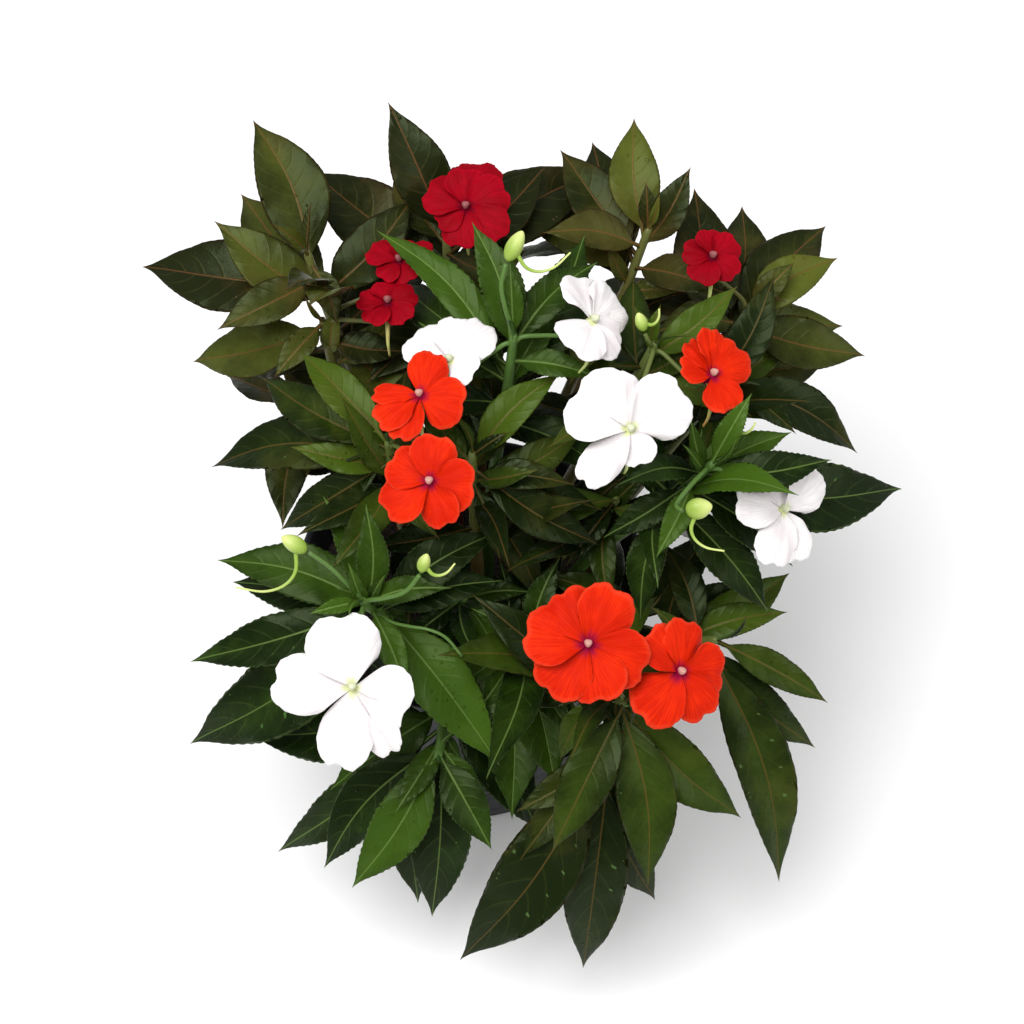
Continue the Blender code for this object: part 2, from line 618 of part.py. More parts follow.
SHIFTS = (0, 5, -5, 10, -10, 16, -16, 23, -23, 31, -31, 40, -40, 50, -50, 62, -62, 75, -75)
BENDS = (0, 16, -16, 30)


def place_leaves(room):
    """Finds each leaf a place clear of what is there, the longest leaves first."""
    wanted, dropped = [], []
    for name, stem in {**STEMS, **REAR_STEMS}.items():
        stem["blades"] = []
        told = seen_leaves(stem) if name in STEMS else ruled_leaves(stem)
        for young, source in ((True, young_leaves(stem)), (False, told), (False, lower_leaves(stem))):
            for number, base, face, share, tip_at in source:
                reach = np.linalg.norm(tip_at(0) - base)
                first = 2 if number >= 60 and not young else 0 if name in STEMS else 1
                wanted.append(((first, -reach), name, stem, young, number, base, face, share, tip_at))
    wanted.sort(key=lambda w: (w[0], w[1], w[4]))
    for _, name, stem, young, number, base, face, share, tip_at in wanted:
        leaf = find_place(room, name, KINDS[stem["kind"]], young, number, base, face, share, tip_at)
        if leaf is None:
            dropped.append(f"{name} {number}")
        else:
            stem["blades"].append(leaf)
    return dropped


def find_place(room, name, kind, young, number, base, face, share, tip_at):
    """The first place of one leaf that is clear of other stems, and if it can be, of its own."""
    spare = None
    for more in BENDS:
        for shift in SHIFTS:
            tip = tip_at(shift)
            length = np.linalg.norm(tip - base)
            sight = (tip - base) @ SEEN_NEAR
            seen_length = math.sqrt(max(length**2 - sight**2, (0.6 * length) ** 2))
            leaf = {"base": base, "tip": tip, "face": face, "bend": kind["bend"] + more,
                    "keel": kind["keel"] + (14 if young else 0), "half": kind["ratio"] * share * seen_length / 2,
                    "wave": 0.0 if young else 0.011 * length, "phase": 1.7 * number, "young": young}
            whole = guard_leaf(leaf)
            if whole[1][0][2] < LOWEST or room.meets(room.others(name), *whole):
                continue
            outer = guard_leaf(leaf, 0.28)
            if not room.meets(room.own(name), *outer):
                room.add(name, whole, outer)
                return leaf
            spare = spare or (leaf, whole, outer)
    if spare:
        room.add(name, *spare[1:])
        return spare[0]
    return None


def set_out():
    """Places everything, and returns the leaves that no clear place was found for."""
    lay_out_blooms()
    lay_out_buds()
    lay_out_stems()
    room = Room()
    room.add("pot", guard_tube(np.array([[0, 0, 0], [0, 0, POT_HEIGHT]]), RIM_RADIUS + RIM_LIP + 1 * MM))
    edge = np.linspace(-RIM_RADIUS, RIM_RADIUS, 7)
    level = np.full((7, 7), SOIL_TOP + SOIL_DOME + 1 * MM)
    ground = np.stack([*np.meshgrid(edge, edge), level], -1).reshape(-1, 3)
    room.add("soil", (Room.tree(ground, grid_triangles(7, 7)), bounds(ground)))
    for name, bloom in BLOOMS.items():
        room.add("flower " + name, guard_petals(bloom))
        throat = np.array([bloom["centre"] + bloom["facing"] * k * MM for k in (-7, 5)])
        room.add("flower " + name, guard_tube(throat, 4.2 * MM))
    for name, bud in BUDS.items():
        body = np.array([bud["centre"] + bud["axis"] * bud["size"][0] * k * MM for k in (-0.5, -0.2, 0.2, 0.5)])
        room.add("bud " + name, guard_tube(body, bud["size"][1] / 2 * MM + CLEARANCE))
        room.add("bud " + name, guard_tube(bud["spur_path"], 1.7 * MM))
    for name, stem in {**STEMS, **REAR_STEMS}.items():
        room.add(name, guard_tube(stem["path"][1:], STEM_RADIUS + CLEARANCE))
        for path in stem["stalks"]:
            room.add(name, guard_tube(path[:-1], STALK_RADIUS + CLEARANCE))
    place_spurs(room)
    return room, place_leaves(room)


def clear():
    """Empties the file that this runs in."""
    for item in list(bpy.data.objects):
        bpy.data.objects.remove(item)


def material(name, colour, rough):
    """A plain material of that colour."""
    made = bpy.data.materials.new(name)
    made.use_nodes = True
    shader = made.node_tree.nodes["Principled BSDF"]
    shader.inputs["Base Color"].default_value = (*colour, 1)
    shader.inputs["Roughness"].default_value = rough
    shader.inputs["Metallic"].default_value = 0
    made.diffuse_color = (*colour, 1)
    return made


def new_object(name, mesh, place):
    made = bpy.data.objects.new(name, mesh)
    place.objects.link(made)
    return made


def select_only(item):
    bpy.ops.object.select_all(action="DESELECT")
    item.select_set(True)
    bpy.context.view_layer.objects.active = item


def apply_all(item):
    """Applies every modifier of an object."""
    select_only(item)
    for modifier in list(item.modifiers):
        bpy.ops.object.modifier_apply(modifier=modifier.name)


def thick_sheet(name, points, faces, thick, place):
    """A thin sheet with the same triangles on both of its faces."""
    mesh = bpy.data.meshes.new(name)
    mesh.from_pydata([tuple(p) for p in points], [], faces)
    made = new_object(name, mesh, place)
    solid = made.modifiers.new("Thickness", "SOLIDIFY")
    solid.thickness = thick
    solid.offset = 0
    apply_all(made)
    return made


def tube(name, path, radii, place, resolution=1):
    """A round bar along a path, its ends closed, as a mesh."""
    curve = bpy.data.curves.new(name, "CURVE")
    curve.dimensions = "3D"
    curve.bevel_depth = 1.0
    curve.bevel_resolution = resolution
    curve.use_fill_caps = True
    line = curve.splines.new("POLY")
    line.points.add(len(path) - 1)
    for point, p, r in zip(line.points, path, radii):
        point.co = (*p, 1)
        point.radius = r
    drawn = new_object(name, curve, place)
    bpy.context.view_layer.update()
    mesh = bpy.data.meshes.new_from_object(drawn.evaluated_get(bpy.context.evaluated_depsgraph_get()))
    mesh.transform(drawn.matrix_world)
    bpy.data.objects.remove(drawn)
    weld(mesh)
    return new_object(name, mesh, place)


def weld(mesh):
    """Joins a mesh's caps to its sides and turns its faces outwards."""
    work = bmesh.new()
    work.from_mesh(mesh)
    bmesh.ops.remove_doubles(work, verts=work.verts, dist=0.00001)
    bmesh.ops.recalc_face_normals(work, faces=work.faces)
    work.to_mesh(mesh)
    work.free()


def ball(name, centre, axis, size, place, segments=8, rings=5):
    """A ball drawn out along an axis: size is its length and its width."""
    mesh = bpy.data.meshes.new(name)
    work = bmesh.new()
    bmesh.ops.create_uvsphere(work, u_segments=segments, v_segments=rings, radius=0.5)
    turn = Vector(tuple(axis)).to_track_quat("Z", "Y").to_matrix().to_4x4()
    spread = Matrix.Diagonal((size[1], size[1], size[0], 1))
    bmesh.ops.transform(work, matrix=Matrix.Translation(tuple(centre)) @ turn @ spread, verts=work.verts)
    work.to_mesh(mesh)
    work.free()
    return new_object(name, mesh, place)


def fuse(main, others, name):
    """Joins closed solids that overlap into one solid, in one union on their collection."""
    group = bpy.data.collections.new("Joined to " + name)
    bpy.context.scene.collection.children.link(group)
    for item in others:
        for used in list(item.users_collection):
            used.objects.unlink(item)
        group.objects.link(item)
    join = main.modifiers.new("Union", "BOOLEAN")
    join.operation = "UNION"
    join.operand_type = "COLLECTION"
    join.collection = group
    join.solver = "EXACT"
    apply_all(main)
    for item in others:
        bpy.data.objects.remove(item)
    bpy.data.collections.remove(group)
    main.name = name
    return main


def make_stem(name, stem, place):
    """A stem with its leaves and flower stalks as one solid."""
    path = stem["path"]
    share = np.linspace(0, 1, len(path)) ** 2
    radii = STEM_RADIUS + (STEM_TIP_RADIUS - STEM_RADIUS) * share
    main = tube(name, path, radii, place)
    others = [tube(f"{name} stalk {i}", p, [STALK_RADIUS * 1.4] + [STALK_RADIUS * 1.1] * (len(p) - 1), place, 0)
              for i, p in enumerate(stem["stalks"])]
    for i, leaf in enumerate(stem["blades"]):
        points, faces = leaf_sheet(leaf)
        others.append(thick_sheet(f"{name} leaf {i}", points, faces, LEAF_THICK, place))
    return fuse(main, others, name)


def make_bloom(name, bloom, place):
    """A flower: its petals sunk in a small throat, with the spur behind and the knob of anthers in front."""
    facing, centre = bloom["facing"], bloom["centre"]
    throat = tube(name, [centre + facing * k * MM for k, _ in THROAT], [w * MM for _, w in THROAT], place)
    others = [tube(name + " spur", bloom["spur"], np.linspace(1.7, 0.7, 5) * MM, place, 0)]
    for i, petal in enumerate(bloom["petals"]):
        points, faces = petal_sheet(bloom, petal)
        others.append(thick_sheet(f"{name} petal {i}", points, faces, PETAL_THICK, place))
    return fuse(throat, others, name)


def make_bud(name, bud, place):
    """A bud: a pointed green ball with its spur."""
    body = ball(name, bud["centre"], bud["axis"], np.array(bud["size"]) * MM, place, 6, 6)
    spur = tube(name + " spur", bud["spur_path"], np.linspace(1.4, 0.7, 5) * MM, place, 0)
    return fuse(body, [spur], name)


def turned(name, profile, place):
    """A profile at +X turned round Z."""
    mesh = bpy.data.meshes.new(name)
    mesh.from_pydata([(x, 0, z) for x, z in profile], [(i, i + 1) for i in range(len(profile) - 1)], [])
    made = new_object(name, mesh, place)
    screw = made.modifiers.new("Turn", "SCREW")
    screw.steps = POT_SIDES
    screw.render_steps = POT_SIDES
    screw.use_merge_vertices = True
    screw.merge_threshold = 0.0001
    apply_all(made)
    return made


def cut(main, cutters):
    """Takes the cutters out of a solid in one difference."""
    group = bpy.data.collections.new("Cut from " + main.name)
    bpy.context.scene.collection.children.link(group)
    for item in cutters:
        for used in list(item.users_collection):
            used.objects.unlink(item)
        group.objects.link(item)
        item.hide_render = True
        item.display_type = "WIRE"
    take = main.modifiers.new("Cut", "BOOLEAN")
    take.operation = "DIFFERENCE"
    take.operand_type = "COLLECTION"
    take.collection = group
    take.solver = "EXACT"
    apply_all(main)
    for item in cutters:
        bpy.data.objects.remove(item)
    bpy.data.collections.remove(group)


def peg(name, x, y, radius, low, high, sides, place):
    """An upright cylinder, for cutting a round hole."""
    mesh = bpy.data.meshes.new(name)
    work = bmesh.new()
    bmesh.ops.create_cone(work, cap_ends=True, segments=sides, radius1=radius, radius2=radius, depth=high - low)
    bmesh.ops.translate(work, verts=work.verts, vec=(x, y, (low + high) / 2))
    work.to_mesh(mesh)
    work.free()
    return new_object(name, mesh, place)


def wall_radius(z):
    """The pot's outer radius at a height, below its rim band."""
    return FOOT_RADIUS + (RIM_RADIUS - RIM_LIP - FOOT_RADIUS) * z / POT_HEIGHT


def make_pot(place):
    """A tapered pot with a deep rim band, a rounded lip, a raised foot and drainage holes."""
    band = POT_HEIGHT - RIM_BAND
    profile = [
        (RIM_RADIUS - 1.6 * MM, POT_HEIGHT), (RIM_RADIUS, POT_HEIGHT - 1.6 * MM), (RIM_RADIUS - 1.2 * MM, band),
        (wall_radius(band), band - 0.6 * MM), (FOOT_RADIUS, 1.6 * MM), (FOOT_RADIUS - 1.6 * MM, 0), (0, 0),
    ]
    inside = [
        (0, POT_FLOOR), (wall_radius(POT_FLOOR) - POT_WALL, POT_FLOOR), (wall_radius(band) - POT_WALL, band),
        (RIM_RADIUS - 3.8 * MM, POT_HEIGHT), (RIM_RADIUS - 1.6 * MM, POT_HEIGHT),
    ]
    pot = turned("pot", profile + inside, place)
    ring = DRAIN_RING
    holes = [peg(f"drain {i}", ring * math.cos(a), ring * math.sin(a), DRAIN_RADIUS, -5 * MM, 12 * MM, 8, place)
             for i, a in enumerate(np.arange(DRAIN_HOLES) * 2 * math.pi / DRAIN_HOLES + 0.3)]
    cut(pot, holes)
    return pot


def make_soil(place):
    """The soil: it fills the pot to near its brim, with a hole for every stem."""
    low = POT_FLOOR + SOIL_GAP
    profile = [
        (0, SOIL_TOP + SOIL_DOME), (48 * MM, SOIL_TOP + SOIL_DOME * 0.5),
        (wall_radius(SOIL_TOP) - POT_WALL - 1.5 * SOIL_GAP, SOIL_TOP),
        (wall_radius(low) - POT_WALL - 1.5 * SOIL_GAP, low), (0, low),
    ]
    soil = turned("soil", profile, place)
    pegs = [peg("hole for " + name, *stem["path"][0][:2], STEM_RADIUS + STEM_GAP, SOIL_TOP - STEM_DEPTH - 1 * MM,
                SOIL_TOP + 20 * MM, 6, place) for name, stem in {**STEMS, **REAR_STEMS}.items()]
    cut(soil, pegs)
    return soil


def count_triangles(item):
    return sum(len(p.vertices) - 2 for p in item.data.polygons)


def main():
    clear()
    room, dropped = set_out()
    plant = bpy.data.collections.new("Busy lizzie")
    bpy.context.scene.collection.children.link(plant)
    green = {k: material(k + " plant leaf", v["leaf"], 0.45) for k, v in KINDS.items()}
    petal = {k: material(k + " petal", v["petal"], 0.5) for k, v in KINDS.items()}
    bud_green = material("bud", BUD_COLOUR, 0.45)
    pot = make_pot(plant)
    pot.data.materials.append(material("pot plastic", POT_COLOUR, 0.5))
    soil = make_soil(plant)
    soil.data.materials.append(material("potting soil", SOIL_COLOUR, 0.95))
    for name, stem in {**STEMS, **REAR_STEMS}.items():
        made = make_stem("stem_" + name, stem, plant)
        made.data.materials.clear()
        made.data.materials.append(green[stem["kind"]])
    for name, bloom in BLOOMS.items():
        made = make_bloom("flower_" + name, bloom, plant)
        made.data.materials.clear()
        made.data.materials.append(petal[bloom["kind"]])
    for name, bud in BUDS.items():
        made = make_bud(name, bud, plant)
        made.data.materials.clear()
        made.data.materials.append(bud_green)
    print("leaves without a clear place:", dropped)
    print("triangles:", sum(count_triangles(o) for o in plant.objects), "in", len(plant.objects), "nodes")
    print("largest:", sorted(((count_triangles(o), o.name) for o in plant.objects), reverse=True)[:5])


main()
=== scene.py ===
"""Busy lizzie: the finished look of the potted New Guinea impatiens on its frame.

Each flower, bud and leafy stem is remade here as fine surfaces over the solid that it replaces. Where
everything stands is worked out by the same steps as in the part's own source, from the same places seen
from the front.
"""

import json
import math

import bmesh
import bpy
import numpy as np
from bpy.props import FloatProperty, FloatVectorProperty, IntProperty, PointerProperty
from mathutils import Matrix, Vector
from mathutils.bvhtree import BVHTree

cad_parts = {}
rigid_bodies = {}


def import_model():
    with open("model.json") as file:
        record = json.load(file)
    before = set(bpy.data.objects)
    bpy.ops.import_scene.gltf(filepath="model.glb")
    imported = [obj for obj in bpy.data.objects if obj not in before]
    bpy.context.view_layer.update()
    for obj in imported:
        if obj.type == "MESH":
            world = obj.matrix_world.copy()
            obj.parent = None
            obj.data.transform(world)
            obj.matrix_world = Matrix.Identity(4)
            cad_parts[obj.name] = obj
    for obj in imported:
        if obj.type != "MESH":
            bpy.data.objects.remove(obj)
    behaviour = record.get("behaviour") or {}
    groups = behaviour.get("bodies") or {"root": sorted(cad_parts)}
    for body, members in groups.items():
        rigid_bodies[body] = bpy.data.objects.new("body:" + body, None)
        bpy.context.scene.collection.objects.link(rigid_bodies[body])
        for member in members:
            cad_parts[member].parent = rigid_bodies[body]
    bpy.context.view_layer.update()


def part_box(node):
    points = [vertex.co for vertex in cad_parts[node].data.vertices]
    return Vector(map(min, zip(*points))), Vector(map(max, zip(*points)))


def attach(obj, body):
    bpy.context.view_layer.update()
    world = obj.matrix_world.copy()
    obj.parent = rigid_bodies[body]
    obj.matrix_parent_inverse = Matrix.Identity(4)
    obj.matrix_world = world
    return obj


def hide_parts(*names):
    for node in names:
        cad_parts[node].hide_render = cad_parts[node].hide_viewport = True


bl_info = {
    "name": "Busy Lizzie",
    "version": (1, 0, 0),
    "blender": (4, 5, 0),
    "location": "View3D > Sidebar > Busy Lizzie",
    "description": "Builds a potted New Guinea impatiens with white, orange and crimson flowers",
    "category": "Add Mesh",
}

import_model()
SOIL_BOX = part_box("soil")

MM = 0.001

# The pot and the soil in it
POT_HEIGHT = 140 * MM
RIM_RADIUS = 90 * MM
RIM_LIP = 3.2 * MM
LIP_ROUND = 1.6 * MM
SOIL_TOP = 124 * MM
SOIL_DOME = 4 * MM
FOOT_RADIUS = 64 * MM
POT_FLOOR = 3 * MM
DRAIN_HOLES = 5
DRAIN_RADIUS = 5 * MM
DRAIN_RING = 38 * MM
DRAIN_FIRST_TURN = 0.3
# Next to nothing, for a ring that closes a turned shape or a rod
ON_AXIS = 0.00001

# The stems: radius at the soil and at the head, radius of the stalks, how deep a stem stands, how high it
# arches, and the way between its leaves
STEM_RADIUS = 3.6 * MM
STEM_TIP_RADIUS = 2.1 * MM
STALK_RADIUS = 1.0 * MM
STEM_DEPTH = 24 * MM
STEM_ARCH = 42 * MM
NODE_STEP = 5 * MM
# Where a stem's curve starts over the soil, and how far a curve's inner points lie from its ends, as a
# share of its reach
STEM_START = 6 * MM
CURVE_EASE = 0.35
# How far below the head the flower stalks, the bare stalk and the youngest leaves leave the stem
STALK_DROP = 7 * MM
BARE_DROP = 22 * MM
YOUNG_DROP = 1.5 * MM

# The leaves: how much of one is its stalk, half the stalk's width, how far a leaf keeps from its neighbours
# and from the ground, and how far its tip falls for each millimetre that it reaches out
PETIOLE_SHARE = 0.1
PETIOLE_HALF = 1.3 * MM
CLEARANCE = 0.85 * MM
LOWEST = 9 * MM
FALL = 0.30
# Powers that shape a leaf's outline: how it widens from its base, and how it narrows to its tip
LEAF_RISE = 0.9
LEAF_TAPER = 1.35
# From where on, as a share, a leaf also keeps clear of its own stem's leaves
OUTER_FROM = 0.28
# How much steeper the keel of a young leaf is, in degrees
YOUNG_KEEL = 14
# Height of a margin's waves as a share of the leaf's length, how many there are, and how far each slants
LEAF_WAVE = 0.011
LEAF_WAVES = 2.6
WAVE_SLANT = 1.9
# The shifts of a tip, in mm, and the further bends in degrees that are tried until a leaf is clear
SHIFTS = (0, 5, -5, 10, -10, 16, -16, 23, -23, 31, -31, 40, -40, 50, -50, 62, -62, 75, -75)
BENDS = (0, 16, -16, 30)
# Numbers of the older and of the youngest leaves, after those whose tips are written down
FIRST_LOWER = 60
FIRST_YOUNG = 90

# The petals: half the turn that a margin takes round its ellipse, the ellipse's middle and half its length
# as shares of the petal's length, and the notch at its end
PETAL_TURN = math.radians(128)
PETAL_MIDDLE = 0.57
PETAL_HALF = 0.43
NOTCH_DEPTH = 0.09
NOTCH_WIDTH = 0.13
# Where a petal's rows and columns lie while leaves are kept clear of it
PETAL_ROWS = (0.1, 0.5, 0.8, 1.03)
PETAL_COLUMNS = (-1.0, -0.5, 0.0, 0.5, 1.0)
# How far before a flower's middle its throat starts and its knob ends, in mm, with a minus for behind it
THROAT_REACH = (-7, 5)
# A flower's spur, in mm down and back from its start, and the turns from straight down that it may have
SPUR_STEPS = ((0, 0), (8, 0), (17, 5), (17, 15))
SPUR_TURNS = (0, 35, -35, 70, -70, 105, -105, 140, -140, 180)
# A bud's spur, aside and ahead, as shares of its length
BUD_SPUR_STEPS = ((0, 0), (0.3, -0.3), (0.7, -0.1), (0.8, 0.45))
# Radii of the tubes that keep throats and spurs clear
THROAT_ROOM = 4.2 * MM
SPUR_ROOM = 2.2 * MM
BUD_SPUR_ROOM = 1.7 * MM

# The eye that the places below are written for: how far it looks down, how far off it is, the middle of its
# picture and the size of a pixel at the point that it looks at
EYE_PITCH = math.radians(50)
EYE_DISTANCE = 1050 * MM
PICTURE_MIDDLE = 512
PICTURE_SCALE = 0.5 * MM
AIM = np.array([21, 0, 185]) * MM
SEEN_RIGHT = np.array([1.0, 0.0, 0.0])
SEEN_UP = np.array([0.0, math.sin(EYE_PITCH), math.cos(EYE_PITCH)])
SEEN_NEAR = np.array([0.0, -math.cos(EYE_PITCH), math.sin(EYE_PITCH)])
WORLD_UP = np.array([0.0, 0.0, 1.0])
GOLDEN_ANGLE = math.pi * (3 - math.sqrt(5))
# The ways that the leaves with told tips, the older ones and the inner ones face
TOLD_FACE = 0.62 * SEEN_NEAR + 0.38 * WORLD_UP
LOWER_FACE = 0.7 * WORLD_UP + 0.3 * SEEN_NEAR
INNER_FACE = 0.6 * SEEN_NEAR + 0.4 * WORLD_UP

# What each kind of plant has: leaf width over length, how far a leaf bends and how steep its keel is in
# degrees, and how deep its teeth are as a share of the deepest
KINDS = {
    "white": {"ratio": 0.34, "bend": 42, "keel": 14, "teeth": 1.0},
    "orange": {"ratio": 0.33, "bend": 46, "keel": 16, "teeth": 0.45},
    "crimson": {"ratio": 0.43, "bend": 38, "keel": 15, "teeth": 0.35},
}

# Stems seen from the front: kind, foot on the soil in mm, head as seen, and the tips of the leaves as seen,
# from the youngest to the oldest. A leaf's third number is how many mm its tip lies nearer the eye than its
# head, and its fourth, where it has one, is its width as a share of what its kind has. A bare stalk has
# shed its flower.
STEMS = {
    "front_orange": {
        "kind": "orange", "foot": (20, -44), "head": (628, 704, 92),
        "leaves": [(552, 852, 8), (648, 886, 4), (741, 818, -4), (700, 640, 10), (500, 690, -24)],
    },
    "front_low": {
        "young": 0, "kind": "orange", "foot": (32, -60), "head": (612, 768, 67),
        "leaves": [(583, 968, -24, 0.9), (460, 960, -12, 0.95), (655, 900, -26), (520, 860, 6)],
    },
    "lower_left": {
        "kind": "white", "foot": (-8, -60), "head": (438, 757, 66),
        "leaves": [(492, 850, 14, 1.2), (352, 888, 2), (324, 868, -14), (432, 917, -26),
                   (278, 852, -44, 0.7), (418, 903, -40), (248, 737, -34), (500, 730, 0)],
    },
    "front_left": {
        "kind": "white", "foot": (-30, -42), "head": (362, 600, 92),
        "leaves": [(309, 614, 12), (452, 588, 18), (366, 503, 14), (408, 694, 8), (190, 662, -22, 0.8),
                   (323, 496, -6), (502, 530, -8), (500, 766, -4), (217, 560, -34), (190, 744, -62),
                   (232, 582, -60)],
        "bare": [(402, 640, 92), (436, 612, 96), (462, 656, 88)],
    },
    "right_white": {
        "kind": "white", "foot": (46, -22), "head": (714, 462, 96),
        "leaves": [(752, 393, 14), (690, 418, 16), (832, 460, 6), (656, 558, 10), (603, 538, -6),
                   (902, 489, -30), (792, 432, -26), (768, 612, -26), (640, 620, -20)],
    },
    "right_low": {
        "kind": "orange", "foot": (52, -40), "head": (718, 640, 56),
        "leaves": [(828, 703, 2, 0.8), (779, 882, -10, 0.7), (815, 748, -16, 0.8), (650, 606, 18),
                   (788, 612, -16), (790, 573, -24), (690, 560, -6)],
    },
    "middle": {
        "young": 0, "kind": "white", "foot": (4, -52), "head": (538, 640, 52),
        "leaves": [(470, 608, 12), (560, 556, 4), (606, 600, 0), (452, 690, 12, 1.3), (556, 788, 12, 1.4),
                   (500, 560, -14), (512, 820, 20, 1.2), (470, 740, 10, 1.2)],
    },
    "left_centre": {
        "young": 0, "kind": "white", "foot": (-16, -26), "head": (464, 598, 44),
        "leaves": [(400, 648, 4), (532, 592, 4), (440, 515, 0), (506, 684, 4), (396, 560, -8),
                   (436, 700, 0)],
    },
    "right_centre": {
        "young": 0, "kind": "orange", "foot": (28, -22), "head": (618, 498, 44),
        "leaves": [(566, 566, 4), (668, 556, 0), (610, 606, 6), (552, 480, 2), (640, 430, -6),
                   (690, 490, -6)],
    },
    "left_mid": {
        "kind": "orange", "foot": (-30, -14), "head": (388, 440, 84),
        "leaves": [(300, 352, -4), (262, 378, -22), (212, 467, -26), (281, 530, -22), (290, 447, 2),
                   (440, 540, 2), (340, 395, 12)],
    },
    "centre": {
        "kind": "orange", "foot": (4, -26), "head": (472, 452, 86),
        "leaves": [(508, 432, 10), (562, 372, 14), (598, 545, -8), (575, 485, 4), (500, 560, -8),
                   (585, 430, -12), (540, 600, -24), (430, 360, -16), (620, 500, -22)],
    },
    "top_white": {
        "kind": "white", "foot": (8, 2), "head": (514, 334, 100),
        "leaves": [(510, 262, 16), (598, 262, 4), (472, 222, 6), (600, 378, 6), (396, 283, -10),
                   (376, 230, -18, 0.6), (418, 322, -4), (560, 300, -22), (585, 235, -38), (545, 400, -18)],
    },
    "right_orange": {
        "kind": "orange", "foot": (36, 8), "head": (656, 342, 84),
        "leaves": [(632, 305, 14), (661, 304, 14), (738, 286, 16), (608, 366, 6), (655, 420, -8),
                   (715, 330, -4), (690, 425, -14), (580, 400, -30)],
    },
    "right_edge": {
        "kind": "orange", "foot": (62, 0), "head": (726, 372, 56),
        "leaves": [(796, 434, 4), (857, 453, -14), (765, 420, 0), (640, 455, -12), (790, 350, -24)],
    },
    "back_left": {
        "kind": "crimson", "foot": (-36, 28), "head": (306, 250, 58),
        "leaves": [(272, 224, 10), (338, 326, 10), (253, 120, 2), (217, 330, 0), (142, 267, -10),
                   (415, 197, 0), (214, 221, -30), (241, 194, -44)],
    },
    "left_low": {
        "kind": "crimson", "foot": (-50, 8), "head": (322, 318, 48),
        "leaves": [(274, 378, 18), (193, 362, -16), (410, 352, 8), (246, 372, -34), (338, 304, 8),
                   (400, 318, -10)],
    },
    "back_top": {
        "kind": "crimson", "foot": (-8, 36), "head": (446, 232, 44),
        "leaves": [(388, 102, 4), (394, 168, -14), (545, 168, 0), (601, 172, -22), (309, 171, -22),
                   (384, 262, -2), (420, 300, 0), (528, 250, -14)],
    },
    "back_right": {
        "kind": "crimson", "foot": (36, 38), "head": (650, 226, 36),
        "leaves": [(646, 182, 14), (634, 118, 6), (691, 167, 6), (560, 150, -6), (592, 142, -24),
                   (512, 212, -8), (606, 243, 6), (680, 292, 0)],
    },
    "right_top": {
        "kind": "crimson", "foot": (54, 22), "head": (752, 306, 34),
        "leaves": [(795, 262, 12), (838, 258, 2), (865, 356, -6), (826, 226, -14), (694, 188, -10),
                   (742, 206, -20), (843, 326, -26), (690, 300, 0), (828, 362, -30)],
    },
}

# Stems behind, which the eye hardly sees: kind, foot, head and the length of their four leaves, all in mm
REAR_STEMS = {
    name: {"kind": kind, "foot": foot, "head": head, "length": length, "leaves": 4, "young": 0, "lower": 0}
    for name, kind, foot, head, length in (
        ("rear_far_left", "crimson", (-56, 30), (-86, 60, 206), 70),
        ("rear_left", "crimson", (-30, 54), (-48, 104, 214), 80),
        ("rear_middle", "orange", (4, 62), (8, 122, 212), 82),
        ("rear_right", "crimson", (34, 56), (64, 108, 214), 80),
        ("rear_far_right", "orange", (56, 36), (106, 72, 206), 74),
    )
}
ALL_STEMS = {**STEMS, **REAR_STEMS}
# How far from straight back the leaves of a stem behind turn at most
REAR_NEAREST_TURN = math.radians(150)

# Older leaves on every stem: how many, how long, how far down the first is and how far apart they are, and
# the oval of the picture that their tips stay in, as its middle and half its size across and down
LOWER_LEAVES = 2
LOWER_LENGTH = 62 * MM
LOWER_DROP = 34 * MM
LOWER_STEP = 15 * MM
FILLED = (530, 450, 285, 320)

